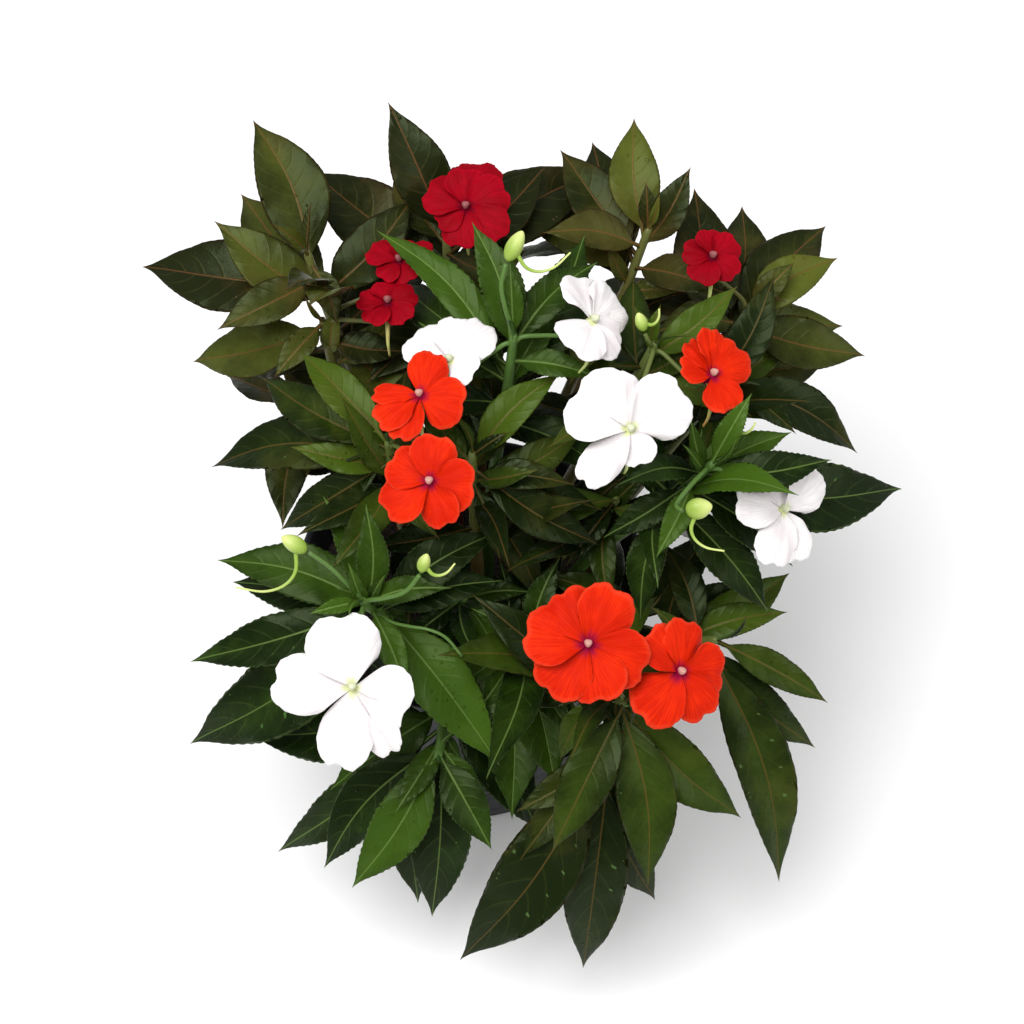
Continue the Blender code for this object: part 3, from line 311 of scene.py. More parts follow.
# Open flowers: kind, the stem that bears it, its middle as seen, how it faces (degrees right, degrees up),
# and its petals as (direction in degrees, length in mm, width in mm). Directions run anticlockwise from the
# right.
BLOOMS = {
    "front": {
        "kind": "orange", "stem": "front_orange", "at": (588, 645, 124), "faces": (0, 8),
        "petals": [(62, 30, 26), (112, 28, 24), (166, 30, 28), (228, 29, 27), (285, 27, 27), (338, 29, 27)],
    },
    "front_right": {
        "kind": "orange", "stem": "front_orange", "at": (679, 672, 112), "faces": (24, 4),
        "petals": [(80, 25, 23), (128, 25, 22), (228, 29, 26), (358, 24, 27), (305, 26, 22)],
    },
    "left": {
        "kind": "orange", "stem": "left_mid", "at": (430, 482, 124), "faces": (-8, 4),
        "petals": [(84, 22, 21), (150, 22, 21), (212, 25, 22), (292, 22, 18), (352, 21, 24)],
    },
    "upper_left": {
        "kind": "orange", "stem": "left_mid", "at": (420, 396, 108), "faces": (-10, 18),
        "petals": [(78, 23, 18), (178, 23, 11), (214, 24, 19), (248, 24, 17), (345, 22, 24)],
    },
    "right": {
        "kind": "orange", "stem": "right_orange", "at": (712, 376, 96), "faces": (22, 26),
        "petals": [(38, 25, 24), (112, 21, 14), (164, 17, 17), (284, 20, 19), (78, 26, 17)],
    },
    "white_front": {
        "kind": "white", "stem": "front_left", "at": (353, 688, 112), "faces": (-4, 6),
        "petals": [(104, 35, 34), (176, 38, 28), (262, 38, 26), (338, 28, 34), (302, 36, 18)],
    },
    "white_centre": {
        "kind": "white", "stem": "right_orange", "at": (630, 430, 132), "faces": (6, 6),
        "petals": [(142, 31, 38), (104, 27, 22), (36, 31, 30), (228, 33, 18), (290, 17, 17)],
    },
    "white_right": {
        "kind": "white", "stem": "right_white", "at": (783, 510, 84), "faces": (26, 4),
        "petals": [(166, 27, 25), (112, 22, 15), (42, 28, 25), (252, 28, 20), (286, 26, 20)],
    },
    "white_upper": {
        "kind": "white", "stem": "top_white", "at": (592, 322, 104), "faces": (40, 30),
        "petals": [(96, 24, 30), (34, 27, 26), (222, 24, 25), (264, 20, 26), (340, 18, 20)],
    },
    "white_upper_left": {
        "kind": "white", "stem": "top_white", "at": (450, 362, 98), "faces": (-14, 28),
        "petals": [(142, 25, 26), (86, 24, 20), (52, 26, 22), (210, 15, 18), (330, 15, 18)],
    },
    "crimson_upper": {
        "kind": "crimson", "stem": "back_top", "at": (466, 208, 74), "faces": (-4, 12),
        "petals": [(150, 22, 22), (88, 20, 21), (28, 22, 21), (318, 24, 22), (262, 20, 20), (208, 16, 16)],
    },
    "crimson_top": {
        "kind": "crimson", "stem": "back_top", "at": (474, 182, 46), "faces": (4, 44),
        "petals": [(140, 15, 15), (92, 14, 15), (38, 16, 14), (190, 12, 12), (350, 14, 13)],
    },
    "crimson_left": {
        "kind": "crimson", "stem": "left_low", "at": (400, 262, 62), "faces": (-12, 28),
        "petals": [(150, 19, 17), (84, 13, 14), (24, 18, 14), (300, 13, 14), (228, 13, 14)],
    },
    "crimson_low": {
        "kind": "crimson", "stem": "left_low", "at": (388, 304, 72), "faces": (-6, 34),
        "petals": [(160, 16, 15), (96, 14, 16), (30, 15, 14), (318, 15, 14), (236, 15, 15)],
    },
    "crimson_right": {
        "kind": "crimson", "stem": "right_top", "at": (712, 258, 62), "faces": (8, 18),
        "petals": [(160, 15, 15), (92, 15, 15), (36, 16, 15), (322, 15, 14), (238, 16, 16)],
    },
}

# Buds: the stem that bears it, its middle as seen, where it points as seen (degrees), its length and width
# in mm, how long its slender spur is in mm, and -1 where the spur curls to the other side
BUDS = {
    "bud_top": {"stem": "top_white", "at": (515, 246, 118), "points": 62, "size": (15, 8), "spur": 26},
    "bud_left": {
        "stem": "front_left", "at": (294, 544, 108), "points": 150, "size": (13, 8), "spur": 34, "curl": -1,
    },
    "bud_middle": {"stem": "front_left", "at": (424, 563, 118), "points": 70, "size": (9, 6), "spur": 14},
    "bud_right": {"stem": "right_white", "at": (699, 508, 122), "points": 10, "size": (12, 10), "spur": 22},
    "bud_edge": {"stem": "right_white", "at": (734, 424, 98), "points": 80, "size": (12, 5), "spur": 10},
    "bud_crimson": {"stem": "right_orange", "at": (641, 322, 92), "points": 110, "size": (9, 6), "spur": 10},
}

# Fine surfaces: how many stations a blade has along it, and where its columns lie from the left margin to
# the right
BLADE_STATIONS = 49
BLADE_TOP = (-1.0, -0.90, -0.68, -0.42, -0.18, -0.05, 0.0, 0.05, 0.18, 0.42, 0.68, 0.90, 1.0)
BLADE_UNDER = (0.72, 0.30, 0.0, -0.30, -0.72)
# Side veins on each half of a blade, and how far they sweep towards its tip, as a share of its length
SIDE_VEINS = 9
VEIN_SWEEP = 0.17
# How far a blade sways to one side at most, and from where and by how much its tip is drawn out, as shares
LEAF_SWAY = 0.065
TIP_DRAWN_FROM = 0.80
TIP_DRAWN = 0.42
# The petals' rings from throat to rim, columns from side to side, and how far a petal tips, as a share of
# its length
PETAL_RINGS = 16
PETAL_SPOKES = 41
PETAL_TILT = 0.05
# Rings along a stem and along a stalk or spur, the stem's joints, and a bare stalk's thickness as a share
STEM_RINGS = 60
STALK_RINGS = 24
STEM_JOINTS = 9
BARE_SHARE = 0.7
# Points round the pot and round the soil
LATHE_STEPS = 96
SOIL_STEPS = 180
# How far the crumbs lie below the solid's dome, and the soil's foot as a share of its edge
SOIL_SUNK = 2.0 * MM
SOIL_FOOT = 0.80
# Crumbs of the soil: height, waves in 2 pi metres, and phase
CRUMBS = ((0.9 * MM, 190, 0.3), (0.7 * MM, 410, 1.1), (0.6 * MM, 830, 2.3), (0.35 * MM, 1490, 0.7))
# The throat's radius from behind the petals to its mouth, in mm
THROAT_RADII = (1.0, 1.2, 1.5, 1.8, 2.2, 2.5, 2.7, 2.8, 2.8, 2.6, 2.2, 1.6)
# The knob's length and width, and the radii of a flower's and of a bud's spur from foot to end
KNOB_SIZE = (4.8 * MM, 3.6 * MM)
SPUR_RADII = np.linspace(1.5, 0.5, STALK_RINGS) * MM
BUD_SPUR_RADII = np.linspace(1.0, 0.4, STALK_RINGS) * MM

# The plant's middle as seen, where leaves get painted shade, given as for FILLED, and what the leaves' chance
# lightness is drawn from
# Painted shade: leaves whose tips are seen near this middle are painted darker
PAINTED_SHADE_MIDDLE = (550, 520, 130, 95)
TONE_SEED = 7
# Leaves inside the plant, smaller than the solids hold. By rule: how many a stem, how long they are meant
# to be, how long one may get while it is shifted clear, and how far it is seen from the middle of a flower
INNER_LEAVES = 6
INNER_LENGTH = 60 * MM
INNER_LONGEST = 84 * MM
INNER_CLEAR = 34 * MM
# Numbers of the inner leaves with told tips, and of those by rule
FIRST_TOLD = 40
FIRST_RULED = 70
# Told tips, each across and down the picture and mm towards the eye
TOLD_INNER = {
    "lower_left": [(478, 812, 52), (396, 812, 56), (462, 760, 40), (520, 800, 34), (330, 790, 40)],
    "front_low": [(516, 812, 44), (560, 742, 30), (600, 872, 52), (540, 760, 34), (640, 800, 40)],
    "middle": [(486, 780, 44), (540, 770, 46), (590, 740, 44), (452, 740, 40), (570, 690, 50)],
    "front_orange": [(596, 800, 70), (690, 800, 64), (560, 760, 56)],
    "right_centre": [(690, 540, 40), (650, 470, 44), (720, 500, 36)],
    "right_edge": [(700, 460, 40), (740, 470, 40), (668, 400, 30)],
    "centre": [(420, 400, 50), (520, 400, 60), (540, 470, 64)],
    "right_white": [(682, 444, 112), (702, 428, 116), (738, 446, 108), (670, 478, 106), (706, 494, 112),
                    (732, 488, 104)],
    "front_left": [(348, 562, 112), (386, 574, 112), (336, 588, 106), (402, 600, 104)],
}

# Finish of each kind: dark and light leaf, its rib, its underside, the flush of its older leaves, its
# stems, and its petals from the eye to the rim
LOOKS = {
    "white": {
        "leaf_dark": (0.0036, 0.0095, 0.0012), "leaf_light": (0.040, 0.086, 0.006),
        "rib": (0.12, 0.19, 0.045), "under": (0.04, 0.09, 0.02), "flush": (0.020, 0.052, 0.006),
        "stem": (0.06, 0.12, 0.02),
        "petal": (0.80, 0.79, 0.78), "rim": (0.84, 0.83, 0.82), "shade": (0.66, 0.61, 0.62),
        "eye": (0.56, 0.60, 0.30), "knob": (0.66, 0.70, 0.48),
    },
    "orange": {
        "leaf_dark": (0.0046, 0.0096, 0.0012), "leaf_light": (0.047, 0.082, 0.006),
        "rib": (0.095, 0.055, 0.014), "under": (0.045, 0.08, 0.02), "flush": (0.050, 0.050, 0.008),
        "stem": (0.12, 0.07, 0.02),
        "petal": (0.66, 0.023, 0.0025), "rim": (0.70, 0.050, 0.018), "shade": (0.47, 0.010, 0.0015),
        "eye": (0.22, 0.002, 0.030), "knob": (0.58, 0.30, 0.24),
    },
    "crimson": {
        "leaf_dark": (0.0078, 0.0100, 0.0020), "leaf_light": (0.080, 0.094, 0.012),
        "rib": (0.13, 0.050, 0.018), "under": (0.09, 0.05, 0.03), "flush": (0.060, 0.034, 0.010),
        "stem": (0.13, 0.025, 0.012),
        "petal": (0.31, 0.0006, 0.0085), "rim": (0.36, 0.002, 0.012), "shade": (0.19, 0.0004, 0.004),
        "eye": (0.10, 0.000, 0.008), "knob": (0.30, 0.09, 0.09),
    },
}
STEM_GREEN = (0.10, 0.20, 0.04)
SPUR_GREEN = (0.42, 0.50, 0.14)
SPUR_PALE = (0.55, 0.62, 0.35)
BUD_CLOUD = (0.30, 0.42, 0.08)
FLOOR_COLOUR = (0.93, 0.93, 0.93)

# The studio: the floor's side, and where each lamp stands and how wide it is, in metres
FLOOR_SIZE = 12
KEY_LAMP = ((-0.5, -0.6, 1.9), 1.3)
FILL_LAMP = ((1.4, -0.5, 1.2), 1.0)
# Width of the camera's sensor, in mm
SENSOR_WIDTH = 36


def unit(v):
    """The vector at length 1."""
    return v / np.linalg.norm(v)


def level_heading(turn):
    """The level direction at that turn from the right."""
    return np.array([math.cos(turn), math.sin(turn), 0.0])


def seen(across, down, near):
    """The place that the eye sees at that point of the picture, near millimetres towards it."""
    shrink = 1 - near * MM / EYE_DISTANCE
    right = (across - PICTURE_MIDDLE) * PICTURE_SCALE * shrink
    up = (PICTURE_MIDDLE - down) * PICTURE_SCALE * shrink
    return AIM + right * SEEN_RIGHT + up * SEEN_UP + near * MM * SEEN_NEAR


def bezier(points, count):
    """Points along a cubic Bezier curve through its four control points."""
    t = np.linspace(0, 1, count)[:, None]
    a, b, c, d = points
    return a * (1 - t) ** 3 + 3 * b * t * (1 - t) ** 2 + 3 * c * t**2 * (1 - t) + d * t**3


def stem_path(foot, head):
    """A stem's centre line: straight up out of its hole, then bending over to its head."""
    x, y = np.array(foot) * MM
    ground = np.array([x, y, SOIL_TOP + STEM_START])
    lean = unit(np.array([head[0] - x, head[1] - y, 0.9 * (head[2] - ground[2]) + STEM_ARCH]))
    rise = np.array([0, 0, max(0.4 * (head[2] - ground[2]), STEM_ARCH)])
    reach = np.linalg.norm(head - ground)
    curve = bezier((ground, ground + rise, head - lean * CURVE_EASE * reach, head), 6)
    return np.vstack([[x, y, SOIL_TOP - STEM_DEPTH], curve])


def back_along(path, distance):
    """The point that lies that far back from the end of a path, measured along it."""
    for end, start in zip(path[:0:-1], path[-2::-1]):
        step = np.linalg.norm(end - start)
        if distance <= step:
            return end + (start - end) * distance / step
        distance -= step
    return path[0]


def leaf_shape(share):
    """Half a leaf's width along it, 1 at its widest: powers of the way from its base and from its tip."""
    s = np.clip((share - PETIOLE_SHARE) / (1 - PETIOLE_SHARE), 0, 1)
    peak = LEAF_RISE / (LEAF_RISE + LEAF_TAPER)
    return (s / peak) ** LEAF_RISE * ((1 - s) / (1 - peak)) ** LEAF_TAPER


def leaf_frame(leaf, s):
    """The points of a leaf's rib, its normals, its side direction and its length, at shares s of that length.

    The rib is an arc from base to tip, which turns by the leaf's bend about the side direction.
    """
    ahead = leaf["tip"] - leaf["base"]
    length = np.linalg.norm(ahead)
    ahead = ahead / length
    above = unit(leaf["face"] - (leaf["face"] @ ahead) * ahead)
    side = np.cross(above, ahead)
    bend = math.radians(leaf["bend"])
    angle = bend * (0.5 - s)[:, None]
    rib = leaf["base"] + ahead * length * (0.5 - np.sin(angle) / math.sin(bend / 2) / 2)
    rib = rib + above * length * (np.cos(angle) - math.cos(bend / 2)) / (2 * math.sin(bend / 2))
    return rib, above * np.cos(angle) - ahead * np.sin(angle), side, length


def margin_wave(leaf, s, t):
    """How far a leaf's margin stands off its blade: waves along it, none at the rib."""
    turn = LEAF_WAVES * 2 * math.pi * s + WAVE_SLANT * t + leaf["phase"]
    return leaf["wave"] * np.sin(turn) * t**2


def leaf_grid(leaf, stations, columns=(-1.0, 0.0, 1.0)):
    """Points and normals of a leaf's blade, as the solid has it: each half rises straight from the rib."""
    rib, normal, side, _ = leaf_frame(leaf, stations)
    rib, normal = rib[:, None], normal[:, None]
    keel = math.radians(leaf["keel"])
    s = stations[:, None, None]
    t = np.array(columns)[None, :, None]
    half = np.maximum(leaf["half"] * leaf_shape(s), np.where(s < 0.5, PETIOLE_HALF, 0))
    wave = margin_wave(leaf, s, t) * leaf_shape(s)
    grid = rib + side * t * half * math.cos(keel) + normal * (np.abs(t) * half * math.sin(keel) + wave)
    return grid, np.broadcast_to(normal, grid.shape)


def petal_outline(t, length, width, phase=0.0):
    """A petal's margin from side to side: most of an ellipse, with a shallow notch at its end."""
    turn = t * PETAL_TURN
    notch = NOTCH_DEPTH * np.exp(-(((t - 0.06 * math.sin(phase)) / NOTCH_WIDTH) ** 2))
    return length * (PETAL_MIDDLE + PETAL_HALF * np.cos(turn) - notch), width / 2 * np.sin(turn)


def petal_lift(q, t, length, width):
    """How far a petal stands before its flower's middle: dished, rolled back at its rim, and turned."""
    return length * (0.20 * q - 0.20 * q**3) + 0.13 * width * t * q


def petal_frame(bloom, petal):
    """The way a petal points, the way across it, its length and its width."""
    direction, length, width = math.radians(petal[0]), petal[1] * MM, petal[2] * MM
    ahead = bloom["right"] * math.cos(direction) + bloom["up"] * math.sin(direction)
    side = bloom["up"] * math.cos(direction) - bloom["right"] * math.sin(direction)
    return ahead, side, length, width


def petal_grid(bloom, petal, rows, columns):
    """Points of one petal, whose every row is its margin drawn in towards the throat."""
    ahead, side, length, width = petal_frame(bloom, petal)
    q = np.array(rows)[:, None, None]
    t = np.array(columns)[None, :, None]
    along, across = petal_outline(t, length, width)
    lift = petal_lift(q, t, length, width)
    return bloom["centre"] + ahead * along * q + side * across * q + bloom["facing"] * lift


def grid_triangles(rows, columns):
    """Triangles over a grid of points."""
    corners = [(i * columns + j, i * columns + j + 1) for i in range(rows - 1) for j in range(columns - 1)]
    return [f for a, b in corners for f in ((a, b, a + columns), (b, b + columns, a + columns))]


def rings_round(path, radius, turn):
    """Rings round a path: radius times the cosine and sine of the turn, on two axes square to the path."""
    ahead = np.gradient(path, axis=0)
    ahead /= np.linalg.norm(ahead, axis=1)[:, None]
    one = np.cross(ahead, (0.31, 0.52, 0.11))
    one /= np.linalg.norm(one, axis=1)[:, None]
    two = np.cross(ahead, one)
    ring = one[:, None] * np.cos(turn)[None, :, None] + two[:, None] * np.sin(turn)[None, :, None]
    return path[:, None] + ring * radius


class Room:
    """What has been placed so far, for finding a leaf's place clear of the rest."""

    def __init__(self):
        self.whole, self.outer = [], []

    @staticmethod
    def tree(points, faces):
        """A search tree over the triangles."""
        return BVHTree.FromPolygons([tuple(p) for p in points], faces)

    def add(self, owner, whole, outer=None):
        """Keeps a piece, and the outer part of it that its own stem's leaves stay clear of."""
        self.whole.append((owner, *whole))
        if outer:
            self.outer.append((owner, *outer))

    @staticmethod
    def meets(pieces, tree, box):
        """Whether it meets any of those pieces."""
        return any(np.all(box[0] <= high) and np.all(low <= box[1]) and placed.overlap(tree)
                   for _, placed, (low, high) in pieces)

    def others(self, owner):
        """Every piece that isn't this owner's."""
        return [p for p in self.whole if p[0] != owner]

    def own(self, owner):
        """The outer parts of this owner's pieces."""
        return [p for p in self.outer if p[0] == owner]


def bounds(points):
    """The lowest and the highest corner of the points' box."""
    return points.min(0), points.max(0)


def guard_leaf(leaf, first=0.0):
    """A leaf grown on both faces by the clearance, as a search tree and its box."""
    stations = np.linspace(first, 1, 8)
    wide = dict(leaf, half=leaf["half"] * 1.05 + 0.3 * MM)
    grid, normal = leaf_grid(wide, stations)
    points = np.vstack([(grid + normal * k * CLEARANCE).reshape(-1, 3) for k in (-1, 0, 1)])
    faces = grid_triangles(len(stations), 3)
    every = [tuple(k + layer * grid[..., 0].size for k in f) for layer in range(3) for f in faces]
    return Room.tree(points, every), bounds(points)


def guard_petals(bloom):
    """A flower's petals grown on both faces, as a search tree and its box."""
    points, faces = [], []
    for petal in bloom["petals"]:
        grid = petal_grid(bloom, petal, PETAL_ROWS, PETAL_COLUMNS)
        for k in (-1, 0, 1):
            shift = sum(len(p) for p in points)
            faces += [tuple(i + shift for i in f) for f in grid_triangles(*grid.shape[:2])]
            points.append((grid + bloom["facing"] * k * CLEARANCE).reshape(-1, 3))
    points = np.vstack(points)
    return Room.tree(points, faces), bounds(points)


def guard_tube(path, radius, sides=6):
    """A tube round a path, as a search tree and its box."""
    turn = np.arange(sides + 1) * 2 * math.pi / sides
    points = rings_round(path, radius, turn).reshape(-1, 3)
    return Room.tree(points, grid_triangles(len(path), sides + 1)), bounds(points)


def lay_out_blooms():
    """Each flower's middle, the way it faces, and the axes that its petals are set out on."""
    for bloom in BLOOMS.values():
        turn, tilt = (math.tan(math.radians(a)) for a in bloom["faces"])
        bloom["centre"] = seen(*bloom["at"])
        bloom["facing"] = unit(SEEN_NEAR + turn * SEEN_RIGHT + tilt * SEEN_UP)
        bloom["right"] = unit(np.cross(SEEN_UP, bloom["facing"]))
        bloom["up"] = np.cross(bloom["facing"], bloom["right"])
        bloom["back"] = bloom["centre"] + bloom["facing"] * THROAT_REACH[0] * MM


def spur_path(bloom, turn):
    """The slender spur: out of the throat, down (or turned from that), and curling back behind the flower."""
    start = bloom["centre"] - bloom["facing"] * 4 * MM
    across = math.sin(turn) * bloom["right"]
    down = unit(math.cos(turn) * -bloom["up"] + across + 0.1 * bloom["facing"])
    return bezier([start + (down * a - bloom["facing"] * b) * MM for a, b in SPUR_STEPS], 5)


def place_spurs(room):
    """Turns each flower's spur until it is clear of the stalks and of the other flowers."""
    for name, bloom in BLOOMS.items():
        for turn in np.radians(SPUR_TURNS):
            bloom["spur"] = spur_path(bloom, turn)
            guard = guard_tube(bloom["spur"], SPUR_ROOM)
            if not room.meets(room.others("flower " + name), *guard):
                break
        room.add("flower " + name, guard)


def lay_out_buds():
    """Each bud's middle, the way it points, and its spur."""
    for bud in BUDS.values():
        angle = math.radians(bud["points"])
        bud["centre"] = seen(*bud["at"])
        bud["axis"] = unit(SEEN_RIGHT * math.cos(angle) + SEEN_UP * math.sin(angle) + 0.25 * SEEN_NEAR)
        half = bud["size"][0] / 2 * MM
        bud["back"] = bud["centre"] - bud["axis"] * half
        side = unit(np.cross(bud["axis"], SEEN_NEAR)) * bud.get("curl", 1)
        start = bud["centre"] - bud["axis"] * half * 0.35 + side * bud["size"][1] * 0.3 * MM
        reach = bud["spur"] * MM
        bud["spur_path"] = bezier([start + side * reach * a + bud["axis"] * reach * b
                                   for a, b in BUD_SPUR_STEPS], 5)


def stalk_path(stem, end, facing):
    """A flower stalk: out of the stem below its head, then round to the back of the flower."""
    start = back_along(stem["path"], STALK_DROP)
    gap = end - facing * (STALK_RADIUS + 0.35 * MM)
    reach = np.linalg.norm(gap - start)
    after_start = start + stem["lean"] * reach * CURVE_EASE
    before_gap = gap - facing * reach * CURVE_EASE
    return bezier((start, after_start, before_gap, gap), 5)


def lay_out_stems():
    """Every stem's path and the flower stalks that it bears."""
    for name, stem in ALL_STEMS.items():
        head = seen(*stem["head"]) if name in STEMS else np.array(stem["head"]) * MM
        stem["path"] = stem_path(stem["foot"], head)
        stem["tip"] = head
        stem["lean"] = unit(stem["path"][-1] - stem["path"][-2])
        stem["stalks"] = []
    for flower in (*BLOOMS.values(), *BUDS.values()):
        facing = flower["facing"] if "facing" in flower else flower["axis"]
        stem = STEMS[flower["stem"]]
        stem["stalks"].append(stalk_path(stem, flower["back"], facing))
    for stem in STEMS.values():
        if "bare" in stem:
            start = back_along(stem["path"], BARE_DROP)
            stem["stalks"].append(bezier([start] + [seen(*point) for point in stem["bare"]], 6))


def tip_by_sight(across, down, near):
    """Gives the tip at that point of the picture, for each shift in mm towards the eye."""
    return lambda shift: seen(across, down, near + shift)


def tip_along(tip, way):
    """Gives the tip shifted along a direction, for each shift in mm."""
    return lambda shift: tip + way * shift * MM


def seen_leaves(stem):
    """The leaves whose tips are written down, each from its place on the stem.

    Like the other functions that set out leaves, it yields each one's number, its base, the way it faces,
    its width as a share of what its kind has, and a function that gives its tip for a shift in mm.
    """
    for i, (across, down, nearer, *share) in enumerate(stem["leaves"]):
        base = back_along(stem["path"], NODE_STEP * (i + 0.6))
        sight = stem["head"][2] + nearer
        reach = np.linalg.norm(seen(across, down, stem["head"][2]) - stem["tip"])
        sight -= FALL * reach / MM
        width = share[0] if share else 1.0
        yield i, base, TOLD_FACE, width, tip_by_sight(across, down, sight)


def ruled_leaves(stem):
    """The leaves of a stem at the back: a whorl that turns by the golden angle and hangs outwards."""
    out = unit(np.array([stem["tip"][0], stem["tip"][1], 0.0]))
    across = np.cross(WORLD_UP, out)
    for i in range(stem["leaves"]):
        base = back_along(stem["path"], NODE_STEP * (i + 0.6))
        turn = (i * GOLDEN_ANGLE + 0.7) % (2 * math.pi) - math.pi
        turn *= REAR_NEAREST_TURN / math.pi
        heading = out * math.cos(turn) + across * math.sin(turn)
        length = stem["length"] * MM * (0.78 + 0.06 * i)
        drop = -0.12 - 0.09 * i
        tip = base + unit(heading + WORLD_UP * drop) * length
        face = WORLD_UP + 0.35 * heading
        yield i, base, face, 1.0, tip_along(tip, WORLD_UP)


def seen_at(point):
    """Where the eye sees a point: across and down the picture."""
    offset = point - AIM
    scale = PICTURE_SCALE * (1 - offset @ SEEN_NEAR / EYE_DISTANCE)
    return PICTURE_MIDDLE + offset @ SEEN_RIGHT / scale, PICTURE_MIDDLE - offset @ SEEN_UP / scale


def from_middle(point, oval):
    """How far from an oval's middle the eye sees a point, as shares of half the oval's size."""
    across, down = seen_at(point)
    return (across - oval[0]) / oval[2], (down - oval[1]) / oval[3]


def is_filled(tip):
    """Whether a tip is seen inside the plant, where leaves by rule may show."""
    across, down = from_middle(tip, FILLED)
    return across**2 + down**2 < 1


def lower_leaves(stem):
    """Older leaves lower down the stem, which spread out level and fill the plant's middle."""
    for i in range(stem.get("lower", LOWER_LEAVES)):
        base = back_along(stem["path"], LOWER_DROP + LOWER_STEP * i)
        turn = (i + 0.35) * 2.4 + stem["tip"][0] * 55 + stem["tip"][1] * 31
        tip = base + unit(level_heading(turn) + 0.18 * WORLD_UP) * LOWER_LENGTH * (1 + 0.08 * i)
        if is_filled(tip):
            yield FIRST_LOWER + i, base, LOWER_FACE, 1.15, tip_along(tip, WORLD_UP)


def young_leaves(stem):
    """The small new leaves that close round a stem's end."""
    lean = stem["lean"]
    one = unit(np.cross(lean, (0.2, 0.1, 0.97)))
    two = np.cross(lean, one)
    for i in range(stem.get("young", 1)):
        turn = i * GOLDEN_ANGLE + stem["tip"][0] * 90
        spread = one * math.cos(turn) + two * math.sin(turn)
        base = back_along(stem["path"], YOUNG_DROP)
        length = (24 + 5 * i) * MM
        tip = base + unit(lean + 0.55 * spread) * length
        yield FIRST_YOUNG + i, base, unit(lean - 0.8 * spread), 0.8, tip_along(tip, spread)


def place_leaves(room):
    """Finds each leaf a place clear of what is there, and drops the few for which there is none.

    The leaves of the stems in front come first, then those of the stems behind, and the older ones last. In
    each of these rounds the longest leaves come first.
    """
    wanted = []
    for name, stem in ALL_STEMS.items():
        stem["blades"] = []
        told = seen_leaves(stem) if name in STEMS else ruled_leaves(stem)
        own_round = 0 if name in STEMS else 1
        for when, source in ((own_round, young_leaves(stem)), (own_round, told), (2, lower_leaves(stem))):
            for number, base, face, share, tip_at in source:
                reach = np.linalg.norm(tip_at(0) - base)
                wanted.append(((when, -reach, name, number), (number, base, face, share, tip_at)))
    wanted.sort(key=lambda leaf: leaf[0])
    for (_, _, name, _), place in wanted:
        leaf = find_place(room, name, *place)
        if leaf is not None:
            ALL_STEMS[name]["blades"].append(leaf)


def find_place(room, name, number, base, face, share, tip_at):
    """The first place of one leaf that is clear of other stems, and if it can be, of its own."""
    kind, young = KINDS[ALL_STEMS[name]["kind"]], number >= FIRST_YOUNG
    spare = None
    for more in BENDS:
        for shift in SHIFTS:
            tip = tip_at(shift)
            length = np.linalg.norm(tip - base)
            sight = (tip - base) @ SEEN_NEAR
            seen_length = math.sqrt(max(length**2 - sight**2, (0.6 * length) ** 2))
            leaf = {"base": base, "tip": tip, "face": face, "bend": kind["bend"] + more,
                    "keel": kind["keel"] + (YOUNG_KEEL if young else 0),
                    "half": kind["ratio"] * share * seen_length / 2,
                    "wave": 0.0 if young else LEAF_WAVE * length, "phase": 1.7 * number}
            whole = guard_leaf(leaf)
            if whole[1][0][2] < LOWEST or room.meets(room.others(name), *whole):
                continue
            outer = guard_leaf(leaf, OUTER_FROM)
            if not room.meets(room.own(name), *outer):
                room.add(name, whole, outer)
                return leaf
            spare = spare or (leaf, whole, outer)
    if spare:
        room.add(name, *spare[1:])
        return spare[0]
    return None


def set_out():
    """Places everything that the solids have, and returns the room that it takes up."""
    lay_out_blooms()
    lay_out_buds()
    lay_out_stems()
    room = Room()
    room.add("pot", guard_tube(np.array([[0, 0, 0], [0, 0, POT_HEIGHT]]), RIM_RADIUS + RIM_LIP + 1 * MM))
    edge = np.linspace(-RIM_RADIUS, RIM_RADIUS, 7)
    level = np.full((7, 7), SOIL_TOP + SOIL_DOME + 1 * MM)
    ground = np.stack([*np.meshgrid(edge, edge), level], -1).reshape(-1, 3)
    room.add("soil", (Room.tree(ground, grid_triangles(7, 7)), bounds(ground)))
    for name, bloom in BLOOMS.items():
        room.add("flower " + name, guard_petals(bloom))
        throat = np.array([bloom["centre"] + bloom["facing"] * k * MM for k in THROAT_REACH])
        room.add("flower " + name, guard_tube(throat, THROAT_ROOM))
    for name, bud in BUDS.items():
        half = bud["axis"] * bud["size"][0] * MM
        body = np.array([bud["centre"] + half * k for k in (-0.5, -0.2, 0.2, 0.5)])
        room.add("bud " + name, guard_tube(body, bud["size"][1] / 2 * MM + CLEARANCE))
        room.add("bud " + name, guard_tube(bud["spur_path"], BUD_SPUR_ROOM))
    for name, stem in ALL_STEMS.items():
        room.add(name, guard_tube(stem["path"][1:], STEM_RADIUS + CLEARANCE))
        for path in stem["stalks"]:
            room.add(name, guard_tube(path[:-1], STALK_RADIUS + CLEARANCE))
    place_spurs(room)
    place_leaves(room)
    return room


# Surfaces


def wrap_faces(rings, around):
    """Quads of a grid of rings whose last column joins its first."""
    i, j = np.meshgrid(np.arange(rings - 1), np.arange(around), indexing="ij")
    k = (j + 1) % around
    a, b = i * around + j, i * around + k
    return np.stack([a, b, b + around, a + around], -1).reshape(-1, 4)


